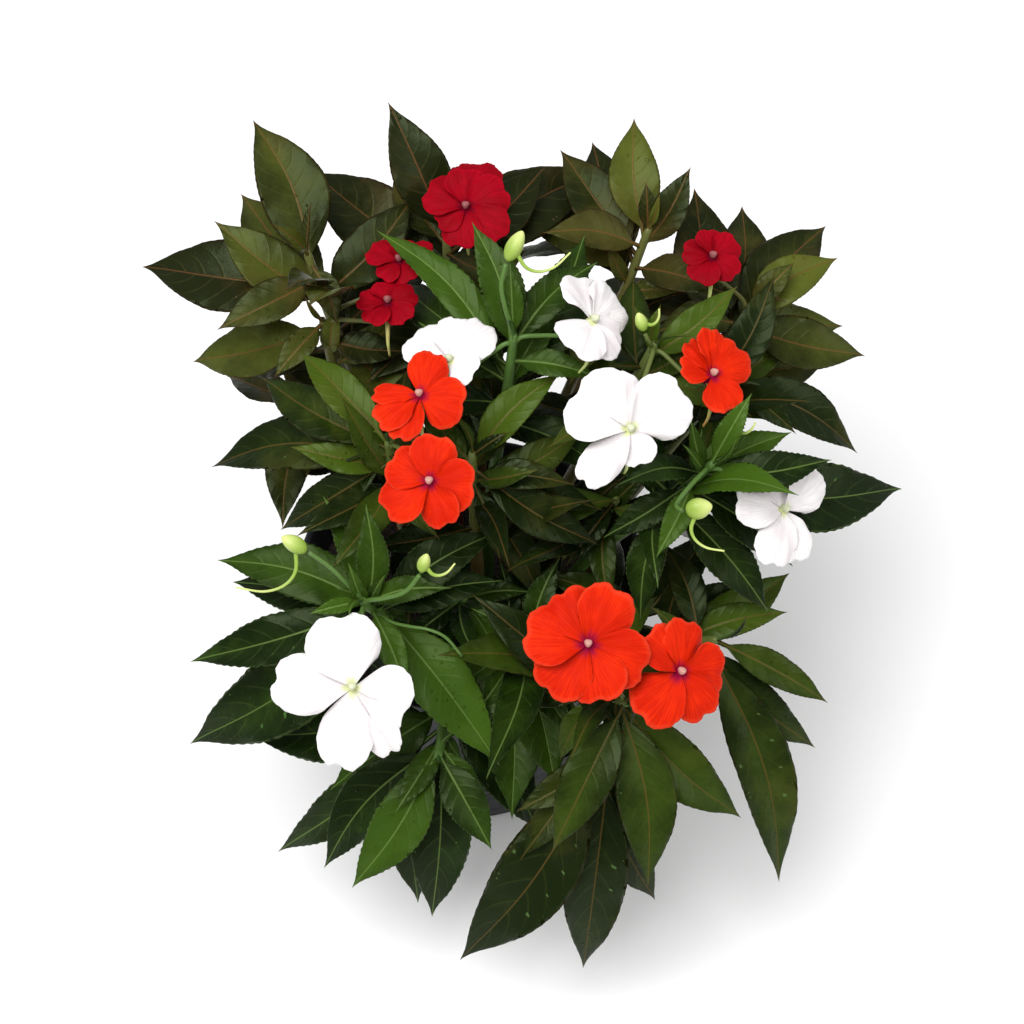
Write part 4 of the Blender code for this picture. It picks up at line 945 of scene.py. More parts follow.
class Surface:
    """Gathers grids of points into one mesh, with a UV, two values and a material for each point or face."""

    def __init__(self):
        self.points, self.quads, self.uvs, self.tone, self.depth, self.finish = [], [], [], [], [], []
        self.total = 0

    def add(self, grid, uv, tone, depth=0.0, finish=0, flip=False):
        """One tube of rings: the grid's last column joins its first, and small end rings close it."""
        rings, around = grid.shape[:2]
        quads = wrap_faces(rings, around) + self.total
        self.quads.append(quads[:, ::-1] if flip else quads)
        self.points.append(grid.reshape(-1, 3))
        self.uvs.append(np.broadcast_to(uv, (rings, around, 2)).reshape(-1, 2))
        self.tone.append(np.broadcast_to(tone, (rings, around)).reshape(-1))
        self.depth.append(np.broadcast_to(depth, (rings, around)).reshape(-1))
        self.finish.append(np.full(len(quads), finish))
        self.total += rings * around

    def make(self, name, node, slot, materials):
        """The mesh object, which stands for the solid of that node."""
        points, quads = np.vstack(self.points), np.vstack(self.quads)
        mesh = bpy.data.meshes.new(name)
        mesh.from_pydata(points, [], quads)
        layer = mesh.uv_layers.new(name="Place")
        corner = np.zeros(len(mesh.loops), np.int32)
        mesh.loops.foreach_get("vertex_index", corner)
        layer.data.foreach_set("uv", np.vstack(self.uvs)[corner].ravel().astype(np.float32))
        for label, values in (("Tone", self.tone), ("Depth", self.depth)):
            layer = mesh.attributes.new(label, "FLOAT", "POINT")
            layer.data.foreach_set("value", np.concatenate(values).astype(np.float32))
        mesh.polygons.foreach_set("material_index", np.concatenate(self.finish).astype(np.int32))
        mesh.shade_smooth()
        for item in materials:
            mesh.materials.append(item)
        made = bpy.data.objects.new(name, mesh)
        bpy.context.scene.collection.objects.link(made)
        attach(made, "root")
        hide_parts(node)
        return made


def uv_grid(across, along):
    """A place in the piece's own map for each point of a grid."""
    return np.stack(np.broadcast_arrays(across, along), -1)


def add_rod(surface, path, radii, sides, tone, finish):
    """A rod along a path: rings of those radii, and a ring next to nothing at each end, which closes it."""
    radii = np.concatenate([[ON_AXIS], radii, [ON_AXIS]])
    path = np.vstack([path[:1] - (path[1] - path[0]) * 1e-3, path, path[-1:] + (path[-1] - path[-2]) * 1e-3])
    turn = np.arange(sides) * 2 * math.pi / sides
    grid = rings_round(path, radii[:, None, None], turn)
    around = np.linspace(0, 1, sides, endpoint=False)
    along = np.linspace(0, 1, len(path))
    surface.add(grid, uv_grid(around[None, :], along[:, None]), tone, finish=finish, flip=True)


def smooth_path(path, count):
    """The path with count points: each piece is a Catmull-Rom curve through its neighbours."""
    ends = np.vstack([2 * path[0] - path[1], path, 2 * path[-1] - path[-2]])
    place = np.linspace(0, len(path) - 1, count)
    k = np.minimum(place.astype(int), len(path) - 2)
    f = (place - k)[:, None]
    a, b, c, d = ends[k], ends[k + 1], ends[k + 2], ends[k + 3]
    return 0.5 * (2 * b + (c - a) * f + (2 * a - 5 * b + 4 * c - d) * f**2 + (3 * b - a - 3 * c + d) * f**3)


def add_leaf(surface, leaf, teeth, settings):
    """A leaf blade, as a thin closed tube that is flat from side to side.

    Its rib is the solid's arc, which sways a little to one side. Half its width follows leaf_shape, with
    the tip drawn out, and every other station's margin is pulled in, which makes the teeth. Each half rises
    from the rib, rolls over towards its margin, swells between the side veins, and waves and curls along
    its margin. q is the share along the leaf, and t runs from its left margin, -1, to its right one, 1.
    """
    s = np.linspace(0, 1, BLADE_STATIONS) ** 1.06
    rib, normal, side, length = leaf_frame(leaf, s)
    top, under = np.array(BLADE_TOP), np.array(BLADE_UNDER)
    t = np.concatenate([top, under])[None, :]
    is_top = np.concatenate([np.ones(len(top)), np.zeros(len(under))])[None, :]
    is_margin = np.abs(t) > 0.99
    q = s[:, None]
    fullness = leaf_shape(q)
    drawn = np.clip((q - TIP_DRAWN_FROM) / 0.20, 0, 1) ** 1.5 * (1 - np.clip((q - 0.94) / 0.06, 0, 1))
    fullness = fullness * (1 - TIP_DRAWN * drawn)
    sway = LEAF_SWAY * length * math.sin(5 * leaf["phase"]) * np.sin(math.pi * q) ** 1.3
    half = np.maximum(leaf["half"] * fullness, np.where(q < 0.5, PETIOLE_HALF * (1 - 0.35 * q / 0.5), 0))
    tooth = (np.arange(BLADE_STATIONS) % 2)[:, None] * teeth * np.clip(fullness * 1.6, 0, 1)
    reach = t * half - np.sign(t) * is_margin * tooth
    keel = math.radians(leaf["keel"])
    rise = np.sqrt(t**2 + 0.012) - 0.11 - 0.16 * t**4
    phase = (q - VEIN_SWEEP * np.abs(t) ** 1.4) * SIDE_VEINS + 0.5 * (t < 0)
    quilt = (0.5 - 0.5 * np.cos(2 * math.pi * phase)) * np.sin(math.pi * np.clip(np.abs(t), 0, 1)) * fullness
    wave = margin_wave(leaf, q, t) * fullness
    curl = 0.35 * leaf["wave"] * np.sin(7.3 * 2 * math.pi * q + 4 * t + 2 * leaf["phase"]) * t**4 * fullness
    swollen_foot = 1.1 * MM * np.exp(-((q / 0.09) ** 2)) * (1 - t**2)
    thick = settings.leaf_thickness / 2 * (1 - 0.8 * t**2) + swollen_foot
    thick = thick * np.where(is_margin, 0, 1) + 0.02 * MM
    groove = -0.35 * MM * np.exp(-((t * half / (0.8 * MM)) ** 2)) * fullness
    ridge = np.where(is_top > 0, groove, -0.5 * MM * np.exp(-((t * half / (1.0 * MM)) ** 2)) * (1 - q))
    lift = half * math.sin(keel) * rise + wave + curl + settings.quilt_height * quilt * length / 0.09
    lift = lift + ridge + np.where(is_top > 0, thick, -thick)
    sideways = (reach * math.cos(keel) + sway)[..., None]
    grid = rib[:, None] + side * sideways + normal[:, None] * lift[..., None]
    depth = np.where(is_top > 0, np.abs(t) * half / 0.01, -1 - np.abs(t) * half / 0.01)
    # The leaf's tone, which holds its painted shade as well as its chance tone, goes to the Tone value
    surface.add(grid, uv_grid(q, t * 0.5 + 0.5), leaf["tone"], depth)


def add_petal(surface, bloom, petal, number, settings):
    """A petal, as a thin closed tube whose margin is an arc of an ellipse with a shallow notch at its end.

    Every ring is the margin drawn in towards the throat. The petal dishes up and rolls back at its rim, one
    edge lies over its neighbour, it tips and turns a little by its number, and its margin ruffles and
    frays. q is the share from throat to rim, and t runs from side to side, from -1 to 1.
    """
    ahead, side, length, width = petal_frame(bloom, petal)
    phase = 2.4 * number + petal[0] * 0.05
    top = np.linspace(-1, 1, PETAL_SPOKES)
    t = np.concatenate([top, top[-2:0:-1]])[None, :]
    is_top = np.concatenate([np.ones(PETAL_SPOKES), np.zeros(PETAL_SPOKES - 2)])[None, :]
    q = np.concatenate([np.linspace(0.05, 1, PETAL_RINGS), [1.0]])[:, None]
    closing = np.ones_like(q)
    closing[-1] = 0
    along, across = petal_outline(t, length, width, phase)
    fray = 0.007 * np.sin(9.3 * math.pi * t + 5 * phase) + 0.005 * np.sin(14.1 * math.pi * t + phase)
    fray = 1 + fray * q**4
    along, across = along * q * fray, across * q * fray
    lift = petal_lift(q, t, length, width)
    ruffle = np.sin(2.2 * math.pi * t + phase) * (0.4 + 0.6 * np.abs(t))
    lift = lift + settings.petal_ruffle * length * q**3 * ruffle
    lift = lift + PETAL_TILT * length * (q**1.5 * math.sin(3 * phase) + 0.8 * q * t * math.sin(2 * phase + 1))
    lift = lift + 0.016 * length * q**2 * np.sin(5.1 * math.pi * t + 2 * phase)
    lift = lift + 0.006 * length * q**6 * np.sin(13.7 * math.pi * t + 3 * phase)
    thick = settings.petal_thickness / 2 * np.where(np.abs(t) > 0.99, 0.02, 1) * closing + 0.01 * MM
    lift = lift + np.where(is_top > 0, thick, -thick)
    grid = bloom["centre"] + ahead * along[..., None] + side * across[..., None]
    grid = grid + bloom["facing"] * lift[..., None]
    surface.add(grid, uv_grid(across / length + 0.5, along / length), (phase * 0.37) % 1, q * np.ones_like(t))


def add_ball(surface, centre, axis, size, tone, finish, rings=13, sides=16, ribs=0.0, point=0.0):
    """A ball of that length and width along an axis.

    Its radius is half its width times the sine of the angle from its pole. It has three shallow ribs, and
    is drawn in towards the end that the axis points to.
    """
    angle = np.linspace(0.02, math.pi - 0.02, rings)
    one = unit(np.cross(axis, (0.31, 0.52, 0.11)))
    two = np.cross(axis, one)
    turn = np.arange(sides) * 2 * math.pi / sides
    radius = size[1] / 2 * np.sin(angle)[:, None] * (1 + ribs * np.cos(3 * turn)[None, :])
    radius = radius * (1 - point * (0.5 - 0.5 * np.cos(angle))[:, None] ** 3)
    ring = one * np.cos(turn)[:, None] + two * np.sin(turn)[:, None]
    grid = centre - axis * (size[0] / 2 * np.cos(angle))[:, None, None] + ring[None] * radius[..., None]
    surface.add(grid, uv_grid(turn[None, :] / 2 / math.pi, angle[:, None] / math.pi), tone, finish=finish)


def lathe(name, profile, node, slot, finish, steps=LATHE_STEPS):
    """A closed profile turned round Z: its radius times the cosine and sine of the turn, at its height."""
    profile = np.array(profile)
    turn = np.arange(steps + 1) * 2 * math.pi / steps
    x = profile[None, :, 0] * np.cos(turn)[:, None]
    y = profile[None, :, 0] * np.sin(turn)[:, None]
    z = np.broadcast_to(profile[None, :, 1], x.shape)
    surface = Surface()
    around = np.linspace(0, 1, len(profile), endpoint=False)[None, :]
    surface.add(np.stack([x, y, z], -1), uv_grid(turn[:, None] / 2 / math.pi, around), 0.5)
    made = surface.make(name, node, slot, [finish])
    close_seam(made)
    return made


def close_seam(item):
    """Joins the first and last ring of a turned shape."""
    work = bmesh.new()
    work.from_mesh(item.data)
    bmesh.ops.remove_doubles(work, verts=work.verts, dist=0.00002)
    bmesh.ops.recalc_face_normals(work, faces=work.faces)
    work.to_mesh(item.data)
    work.free()


# Materials


class Socket:
    """A shader value on which +, -, * and ** add Math nodes."""

    def __init__(self, graph, socket):
        self.graph, self.socket = graph, socket

    def __add__(self, other):
        return self.graph.maths("ADD", self, other)

    def __sub__(self, other):
        return self.graph.maths("SUBTRACT", self, other)

    def __rsub__(self, other):
        return self.graph.maths("SUBTRACT", other, self)

    def __mul__(self, other):
        return self.graph.maths("MULTIPLY", self, other)

    def __pow__(self, other):
        return self.graph.maths("POWER", self, other)

    __radd__, __rmul__ = __add__, __mul__


class Graph:
    """A material's nodes. node() adds any one of them and gives its output back."""

    def __init__(self, name, **fixed):
        self.material = bpy.data.materials.new(name)
        self.material.use_nodes = True
        self.tree = self.material.node_tree
        self.shader = self.tree.nodes["Principled BSDF"]
        for label, value in fixed.items():
            self.shader.inputs[label.replace("_", " ")].default_value = value

    def node(self, kind, settings=None, links=None, out=0):
        """Adds a node: its settings first, then the values or links of its inputs."""
        made = self.tree.nodes.new(kind)
        for key, value in (settings or {}).items():
            setattr(made, key, value)
        for key, value in (links or {}).items():
            self.join(value, made.inputs[key])
        return Socket(self, made.outputs[out])

    def join(self, value, target):
        """Links a socket to the input, or sets the input's own value."""
        if isinstance(value, Socket):
            self.tree.links.new(value.socket, target)
        elif isinstance(value, tuple) and len(value) == 3 and target.type == "RGBA":
            target.default_value = (*value, 1)
        else:
            target.default_value = value

    def into(self, label, value):
        """Feeds one of the shader's own inputs."""
        self.join(value, self.shader.inputs[label])

    def maths(self, operation, *values):
        """A Math node on one or two values."""
        return self.node("ShaderNodeMath", {"operation": operation}, dict(enumerate(values)))

    def number(self, name):
        """The mesh's own value of that name."""
        return self.node("ShaderNodeAttribute", {"attribute_name": name}, out="Fac")

    def mix(self, factor, first, second):
        """A colour between the first and the second."""
        return self.node("ShaderNodeMix", {"data_type": "RGBA", "clamp_factor": True},
                         {0: factor, 6: first, 7: second}, out=2)

    def ramp(self, value, low, high, start=0.0, end=1.0):
        """A smooth step from start at low to end at high."""
        return self.node("ShaderNodeMapRange", {"interpolation_type": "SMOOTHSTEP"},
                         {"Value": value, "From Min": low, "From Max": high, "To Min": start, "To Max": end})

    def noise(self, where, scale, detail=3.0, roughness=0.5):
        """Cloudy noise from 0 to 1, with that many blotches a metre."""
        links = {"Vector": where, "Scale": scale, "Detail": detail, "Roughness": roughness}
        return self.node("ShaderNodeTexNoise", {}, links)

    def place(self):
        """The place on the object, in metres."""
        return self.node("ShaderNodeTexCoord", out="Object")

    def scaled_place(self, scale):
        """The place, drawn out or pressed together along each axis."""
        return self.node("ShaderNodeMapping", {}, {"Vector": self.place(), "Scale": scale})

    def grid(self):
        """The place on the piece's own map."""
        return self.node("ShaderNodeUVMap", {"uv_map": "Place"})

    def cells(self, scale):
        """The distance from the nearest of many scattered points."""
        return self.node("ShaderNodeTexVoronoi", {"feature": "F1"}, {"Vector": self.place(), "Scale": scale})

    def parts(self, vector):
        """The first two parts of a vector."""
        split = self.tree.nodes.new("ShaderNodeSeparateXYZ")
        self.join(vector, split.inputs[0])
        return Socket(self, split.outputs[0]), Socket(self, split.outputs[1])

    def bump(self, height, strength, distance, onto=None):
        """A normal that follows the height, over another bump where one is given."""
        links = {"Height": height, "Strength": strength, "Distance": distance}
        if onto:
            links["Normal"] = onto
        return self.node("ShaderNodeBump", {}, links)


def shaded(colour, share):
    """The colour times the share."""
    return tuple(share * part for part in colour)


def blended(first, first_share, second, second_share):
    """The sum of two colours, each times its share."""
    return tuple(first_share * a + second_share * b for a, b in zip(first, second))


def leaf_material(kind, look, settings):
    """A leaf: a dark blade mottled with light, with a pale rib, side veins and small water drops.

    Depth is the distance from the rib in cm on the top, and below -1 on the underside.
    """
    g = Graph(kind + " leaf", Specular_IOR_Level=0.16, Specular_Tint=(0.72, 0.90, 0.50, 1.0))
    along, across = g.parts(g.grid())
    away = g.maths("ABSOLUTE", (across - 0.5) * 2)
    tone, depth = g.number("Tone"), g.number("Depth")
    below = g.ramp(depth, -0.5, -0.6)
    lateral = g.maths("ABSOLUTE", depth)
    on_left = g.maths("LESS_THAN", across, 0.5)
    phase = (along - away**1.4 * VEIN_SWEEP) * SIDE_VEINS + on_left * 0.5
    wander = g.noise(g.place(), 140, 2)
    phase = phase + (wander - 0.5) * 0.16
    from_vein = g.maths("ABSOLUTE", g.maths("FRACT", phase) - 0.5) * 2
    side_vein = g.ramp(from_vein, 0.82, 1.0) * g.ramp(away, 0.95, 0.45)
    rib = g.ramp(lateral + along * 0.03, 0.072, 0.028) * (1 - below)
    mottle = g.noise(g.place(), 55, 4, 0.6)
    fine = g.noise(g.place(), 420, 3, 0.6)
    broad = g.noise(g.place(), 22, 2)
    # Tone carries each leaf's painted shade (darker in the plant's middle, away from the eye and inside it)
    # and its chance tone; the blade is also a little darker towards its margin
    light = g.ramp(mottle * 0.5 + tone * 0.85 + broad * 0.35 + fine * 0.12 - away * 0.16, 0.48, 1.28)
    blade = g.mix(light, look["leaf_dark"], look["leaf_light"])
    blade = g.mix(g.ramp(broad + (mottle - 0.5) * 0.6, 0.52, 0.74, 0, 0.35), blade, look["flush"])
    blade = g.mix(side_vein * 0.16, blade, blended(look["leaf_light"], 0.55, look["rib"], 0.25))
    blade = g.mix(rib * settings.rib_strength, blade, look["rib"])
    edge = g.ramp(away, 0.90, 1.0) * (1 - below)
    blade = g.mix(edge * (0.30 if kind == "white" else 0.15), blade, look["rib"])
    under = g.mix(mottle * 0.5 + side_vein * 0.4, look["under"], shaded(look["under"], 1.5))
    g.into("Base Color", g.mix(below, blade, under))
    rare = g.ramp(g.noise(g.place(), 24, 1), 0.53, 0.60)
    drop = g.ramp(g.cells(230), 0.20, 0.10) * rare * (1 - below) * settings.wetness
    rough = g.ramp(mottle + fine * 0.3, 0.3, 0.9, 0.24, 0.38)
    g.into("Roughness", rough * (1 - drop * 0.85))
    swell = (1 - from_vein**2) * 0.35 + fine * 0.4 - side_vein * 0.15 - rib * 0.6
    relief = g.bump(swell, 0.5, 0.0006)
    g.into("Normal", g.bump(drop, 0.9, 0.0006, relief))
    return g.material


def stem_material(kind, look):
    """A stem: fleshy and half glossy, greener towards its end, with fine lengthwise streaks."""
    g = Graph(kind + " stem", Specular_IOR_Level=0.3)
    streak = g.noise(g.scaled_place((900, 900, 60)), 1.0, 3)
    blotch = g.noise(g.place(), 90, 3)
    tone = g.number("Tone")
    green = blended(look["stem"], 0.4, STEM_GREEN, 0.6)
    body = g.mix(g.ramp(tone + (blotch - 0.5) * 0.5, 0.2, 0.95), look["stem"], green)
    g.into("Base Color", g.mix(streak * 0.35, body, shaded(look["stem"], 0.45)))
    g.into("Roughness", g.ramp(blotch, 0.2, 0.8, 0.30, 0.48))
    g.into("Normal", g.bump(streak, 0.25, 0.0003))
    return g.material


def petal_material(kind, look, settings):
    """A petal: velvety, its colour drawn out from the eye to a paler rim, with fine veins that fan out."""
    g = Graph(kind + " petal", Specular_IOR_Level=0.04)
    across, along = g.parts(g.grid())
    out = g.number("Depth")
    turn = g.maths("ARCTAN2", across - 0.5, along)
    fan = g.node("ShaderNodeCombineXYZ", {}, {"X": turn * 22, "Y": out * 1.6, "Z": g.number("Tone") * 9})
    veins = g.noise(fan, 1.6, 3, 0.55)
    cloud = g.noise(g.place(), 70, 3)
    grain = g.noise(g.place(), 1300, 2)
    body = g.mix(g.ramp(cloud * 0.7 + veins * 0.5, 0.42, 0.80), look["shade"], look["petal"])
    body = g.mix(g.ramp(veins, 0.40, 0.62), g.mix(0.5, body, look["shade"]), body)
    rim = g.ramp(out + (cloud - 0.5) * 0.10, 0.90, 1.0)
    body = g.mix(rim * 0.65, body, look["rim"])
    reach = 1.2 if kind == "white" else 1.9
    eye = g.ramp(out + (veins - 0.5) * 0.22, settings.eye_size * reach, settings.eye_size * 0.5)
    g.into("Base Color", g.mix(eye, body, look["eye"]))
    g.into("Roughness", g.ramp(cloud, 0.2, 0.8, 0.52, 0.68))
    g.into("Normal", g.bump(veins * 0.8 + grain * 0.25, 0.35, 0.0005))
    return g.material


def knob_material(kind, look):
    """The knob of anthers: pale and mealy."""
    g = Graph(kind + " anthers", Roughness=0.7)
    grain = g.noise(g.place(), 900, 3)
    g.into("Base Color", g.mix(grain, shaded(look["knob"], 0.7), look["knob"]))
    g.into("Normal", g.bump(grain, 0.4, 0.0003))
    return g.material


def spur_material(kind, look):
    """A spur: yellow green, flushed with the petal's colour on the coloured kinds."""
    g = Graph(kind + " spur", Roughness=0.45)
    cloud = g.noise(g.place(), 120, 3)
    flush = look["rim"] if kind != "white" else SPUR_PALE
    half_way = blended(flush, 0.5, SPUR_GREEN, 0.5)
    g.into("Base Color", g.mix(g.ramp(cloud, 0.35, 0.7), SPUR_GREEN, half_way))
    g.into("Roughness", g.ramp(cloud, 0.3, 0.7, 0.40, 0.52))
    return g.material


def bud_material(settings):
    """A bud's skin: pale green clouded with darker green, and yellower towards its end."""
    g = Graph("bud skin", Roughness=0.4, Specular_IOR_Level=0.3)
    _, along = g.parts(g.grid())
    cloud = g.noise(g.place(), 160, 3)
    upwards = g.ramp(along + (cloud - 0.5) * 0.3, 0.3, 0.9)
    skin = g.mix(upwards, tuple(settings.bud_base), tuple(settings.bud_tip))
    g.into("Base Color", g.mix(g.ramp(cloud, 0.45, 0.75, 0, 0.35), skin, BUD_CLOUD))
    g.into("Normal", g.bump(cloud, 0.2, 0.0003))
    return g.material


def pot_material(settings):
    """Moulded plastic: finely grained, with faint paler scuffs that run round it."""
    g = Graph("pot plastic", Roughness=0.5, Specular_IOR_Level=0.25)
    grain = g.noise(g.place(), 1500, 2)
    scuff = g.noise(g.scaled_place((30, 30, 140)), 1.0, 5, 0.65)
    colour = tuple(settings.pot_colour)
    g.into("Base Color", g.mix(g.ramp(scuff, 0.5, 0.8, 0, 0.5), colour, shaded(colour, 2.2)))
    g.into("Roughness", g.ramp(scuff, 0.3, 0.8, 0.38, 0.62))
    g.into("Normal", g.bump(grain, 0.15, 0.0003))
    return g.material


def soil_material(settings):
    """Damp peat: dark crumbs among lighter ones."""
    g = Graph("damp peat", Roughness=0.95)
    crumb = g.noise(g.place(), 260, 6, 0.7)
    flake = g.cells(330)
    colour = tuple(settings.soil_colour)
    g.into("Base Color", g.mix(g.ramp(crumb, 0.35, 0.75), shaded(colour, 0.35), shaded(colour, 1.7)))
    g.into("Roughness", g.ramp(flake, 0.1, 0.6, 0.8, 1.0))
    g.into("Normal", g.bump(crumb + flake, 1.0, 0.003))
    return g.material


def floor_material():
    """A plain pale floor."""
    g = Graph("pale floor", Roughness=0.9)
    g.into("Base Color", FLOOR_COLOUR)
    return g.material


# What a user can change


class PlantSettings(bpy.types.PropertyGroup):
    """Sizes and colours of the plants."""

    leaf_thickness: FloatProperty(name="Leaf Thickness", description="Thickness of a blade near its rib",
                                  default=0.45 * MM, subtype="DISTANCE", unit="LENGTH")
    petal_thickness: FloatProperty(name="Petal Thickness", description="Thickness of a petal",
                                   default=0.4 * MM, subtype="DISTANCE", unit="LENGTH")
    tooth_depth: FloatProperty(name="Tooth Depth", description="Depth of a white plant's leaf teeth",
                               default=0.55 * MM, subtype="DISTANCE", unit="LENGTH")
    quilt_height: FloatProperty(name="Quilting", description="How far a blade swells between its side veins",
                                default=0.65 * MM, subtype="DISTANCE", unit="LENGTH")
    petal_ruffle: FloatProperty(name="Ruffle", description="Wave of a petal's margin over its length",
                                default=0.035, min=0, max=0.2)
    rib_strength: FloatProperty(name="Rib Colour", description="How strongly the rib's own colour shows",
                                default=0.65, min=0, max=1)
    wetness: FloatProperty(name="Water Drops", description="How much the water drops show",
                           default=1.0, min=0, max=1)
    eye_size: FloatProperty(name="Eye Size", description="Radius of the eye as a share of a petal's length",
                            default=0.15, min=0.02, max=0.5)
    bud_base: FloatVectorProperty(name="Bud Base", description="Colour at a bud's foot", subtype="COLOR",
                                  default=(0.24, 0.36, 0.05))
    bud_tip: FloatVectorProperty(name="Bud Tip", description="Colour at a bud's point", subtype="COLOR",
                                 default=(0.58, 0.64, 0.22))


class PotSettings(bpy.types.PropertyGroup):
    """Sizes and colours of the pot and what is in it."""

    wall: FloatProperty(name="Wall", description="Thickness of the pot's wall",
                        default=2.2 * MM, subtype="DISTANCE", unit="LENGTH")
    rim_band: FloatProperty(name="Rim Band", description="Depth of the band below the rim",
                            default=16 * MM, subtype="DISTANCE", unit="LENGTH")
    pot_colour: FloatVectorProperty(name="Pot", description="Colour of the plastic", subtype="COLOR",
                                    default=(0.014, 0.015, 0.018))
    soil_colour: FloatVectorProperty(name="Soil", description="Colour of the soil", subtype="COLOR",
                                     default=(0.040, 0.026, 0.018))
    crumbs: IntProperty(name="Crumbs", description="Rings of points over the soil", default=90, min=10)


class StudioSettings(bpy.types.PropertyGroup):
    """Light and camera."""

    key_power: FloatProperty(name="Key Light", description="Power of the large lamp in watts", default=42.0)
    fill_power: FloatProperty(name="Fill Light", description="Power of the side lamp in watts", default=9.0)
    sky: FloatProperty(name="Surround", description="Strength of the even light all round", default=0.50)


# Where the fine pieces go


def inner_leaves(name, stem):
    """Leaves in the shade: some in told places, and small ones set out by the golden angle."""
    for i, place in enumerate(TOLD_INNER.get(name, [])):
        base = back_along(stem["path"], (10 + 6 * i) * MM)
        yield FIRST_TOLD + i, base, INNER_FACE, 1.1, tip_by_sight(*place)
    for i in range(INNER_LEAVES):
        base = back_along(stem["path"], (12 + 12 * i) * MM)
        turn = (i + 0.8) * GOLDEN_ANGLE + stem["tip"][0] * 37 + stem["tip"][1] * 53
        heading = unit(level_heading(turn) + (0.30 - 0.08 * i) * WORLD_UP)
        tip = base + heading * INNER_LENGTH * (0.85 + 0.07 * (i % 3))
        if is_filled(tip):
            yield FIRST_RULED + i, base, INNER_FACE, 1.05, tip_along(tip, WORLD_UP)


def add_inner_leaves(room):
    """Adds the inner leaves that a clear place is found for."""
    for name, stem in ALL_STEMS.items():
        for number, *place in inner_leaves(name, stem):
            leaf = find_place(room, name, number, *place)
            if leaf is not None and (number < FIRST_RULED or not shows_too_much(leaf)):
                stem["blades"].append(dict(leaf, inner=number >= FIRST_RULED))


def shows_too_much(leaf):
    """Whether an inner leaf has got too long, or lies before a flower."""
    if np.linalg.norm(leaf["tip"] - leaf["base"]) > INNER_LONGEST:
        return True
    for share in (0.3, 0.5, 0.7, 0.9):
        point = leaf["base"] + (leaf["tip"] - leaf["base"]) * share
        for flower in (*BLOOMS.values(), *BUDS.values()):
            away = point - flower["centre"]
            before = away @ SEEN_NEAR
            if before > -4 * MM and np.linalg.norm(away - before * SEEN_NEAR) < INNER_CLEAR:
                return True
    return False


def leaf_tone_and_shade(leaf, chance):
    """How light a leaf's colour is: lighter where it is short, with a chance tone, and painted shade that
    darkens it away from the eye, in the plant's middle and inside.
    """
    length = np.linalg.norm(leaf["tip"] - leaf["base"])
    nearness = (leaf["tip"] - AIM) @ SEEN_NEAR
    across, down = from_middle(leaf["tip"], PAINTED_SHADE_MIDDLE)
    deep = math.exp(-(across**2) - down**2)
    # Painted shade: darker the farther the tip is from the eye and the nearer the plant's middle, and darker
    # still for an inner leaf; shortness and chance add real tone
    tone = 0.50 - 0.42 * deep - 2.5 * (length - 0.07) + 2.4 * (nearness - 0.06) + chance
    return float(np.clip(tone - (0.35 if leaf.get("inner") else 0), 0.02, 1.0))


def lay_out_once():
    """Works out where everything goes and each leaf's tone with its painted shade, unless an earlier operator
    has done so.
    """
    if "blades" in STEMS["centre"]:
        return
    add_inner_leaves(set_out())
    tones = np.random.default_rng(TONE_SEED)
    for stem in ALL_STEMS.values():
        for leaf in stem["blades"]:
            leaf["tone"] = leaf_tone_and_shade(leaf, tones.normal(0, 0.24))


class AddPot(bpy.types.Operator):
    """Adds the plastic pot with its rolled rim and drainage holes"""

    bl_idname = "busy_lizzie.add_pot"
    bl_label = "Pot"

    def execute(self, context):
        settings = context.scene.busy_lizzie_pot
        pot = lathe("pot_shell", pot_profile(settings), "pot", "pot_plastic", pot_material(settings))
        turns = np.arange(DRAIN_HOLES) * 2 * math.pi / DRAIN_HOLES + DRAIN_FIRST_TURN
        drill(pot, [DRAIN_RING * level_heading(turn) for turn in turns])
        return {"FINISHED"}


def pot_profile(settings):
    """Half the pot's section: over the lip, down the outer side, under the foot, and up the inside."""
    band = POT_HEIGHT - settings.rim_band
    foot, slope = FOOT_RADIUS, (RIM_RADIUS - RIM_LIP - FOOT_RADIUS) / POT_HEIGHT
    lip_out, lip_up = RIM_RADIUS - LIP_ROUND, POT_HEIGHT - LIP_ROUND
    lip = [(lip_out + LIP_ROUND * math.cos(a), lip_up + LIP_ROUND * math.sin(a))
           for a in np.linspace(math.pi / 2, 0, 7)]
    step = [(RIM_RADIUS - 1.1 * MM, band + 0.8 * MM), (RIM_RADIUS - 1.5 * MM, band),
            (foot + slope * band + 0.4 * MM, band - 0.4 * MM)]
    side = [(foot + slope * z, z) for z in (band - 3 * MM, *np.linspace(band - 10 * MM, 4 * MM, 6))]
    under = [(foot - 0.3 * MM, 1.2 * MM), (foot - 1.8 * MM, 0), (30 * MM, 0), (ON_AXIS, 0)]
    floor = [(ON_AXIS, POT_FLOOR), (foot - settings.wall, POT_FLOOR)]
    inside = [(foot + slope * band - settings.wall, band), (RIM_RADIUS - 3.8 * MM, POT_HEIGHT - 0.8 * MM),
              (RIM_RADIUS - RIM_LIP, POT_HEIGHT)]
    return lip + step + side + under + floor + inside


def drill(item, places):
    """Cuts round drainage holes through the pot's floor."""
    pegs = []
    for place in places:
        bpy.ops.mesh.primitive_cylinder_add(vertices=32, radius=DRAIN_RADIUS, depth=20 * MM, location=place)
        pegs.append(bpy.context.object)
    for peg in pegs:
        cut = item.modifiers.new("Hole", "BOOLEAN")
        cut.operation, cut.object, cut.solver = "DIFFERENCE", peg, "EXACT"
        bpy.context.view_layer.objects.active = item
        bpy.ops.object.modifier_apply(modifier=cut.name)
    for peg in pegs:
        bpy.data.objects.remove(peg)


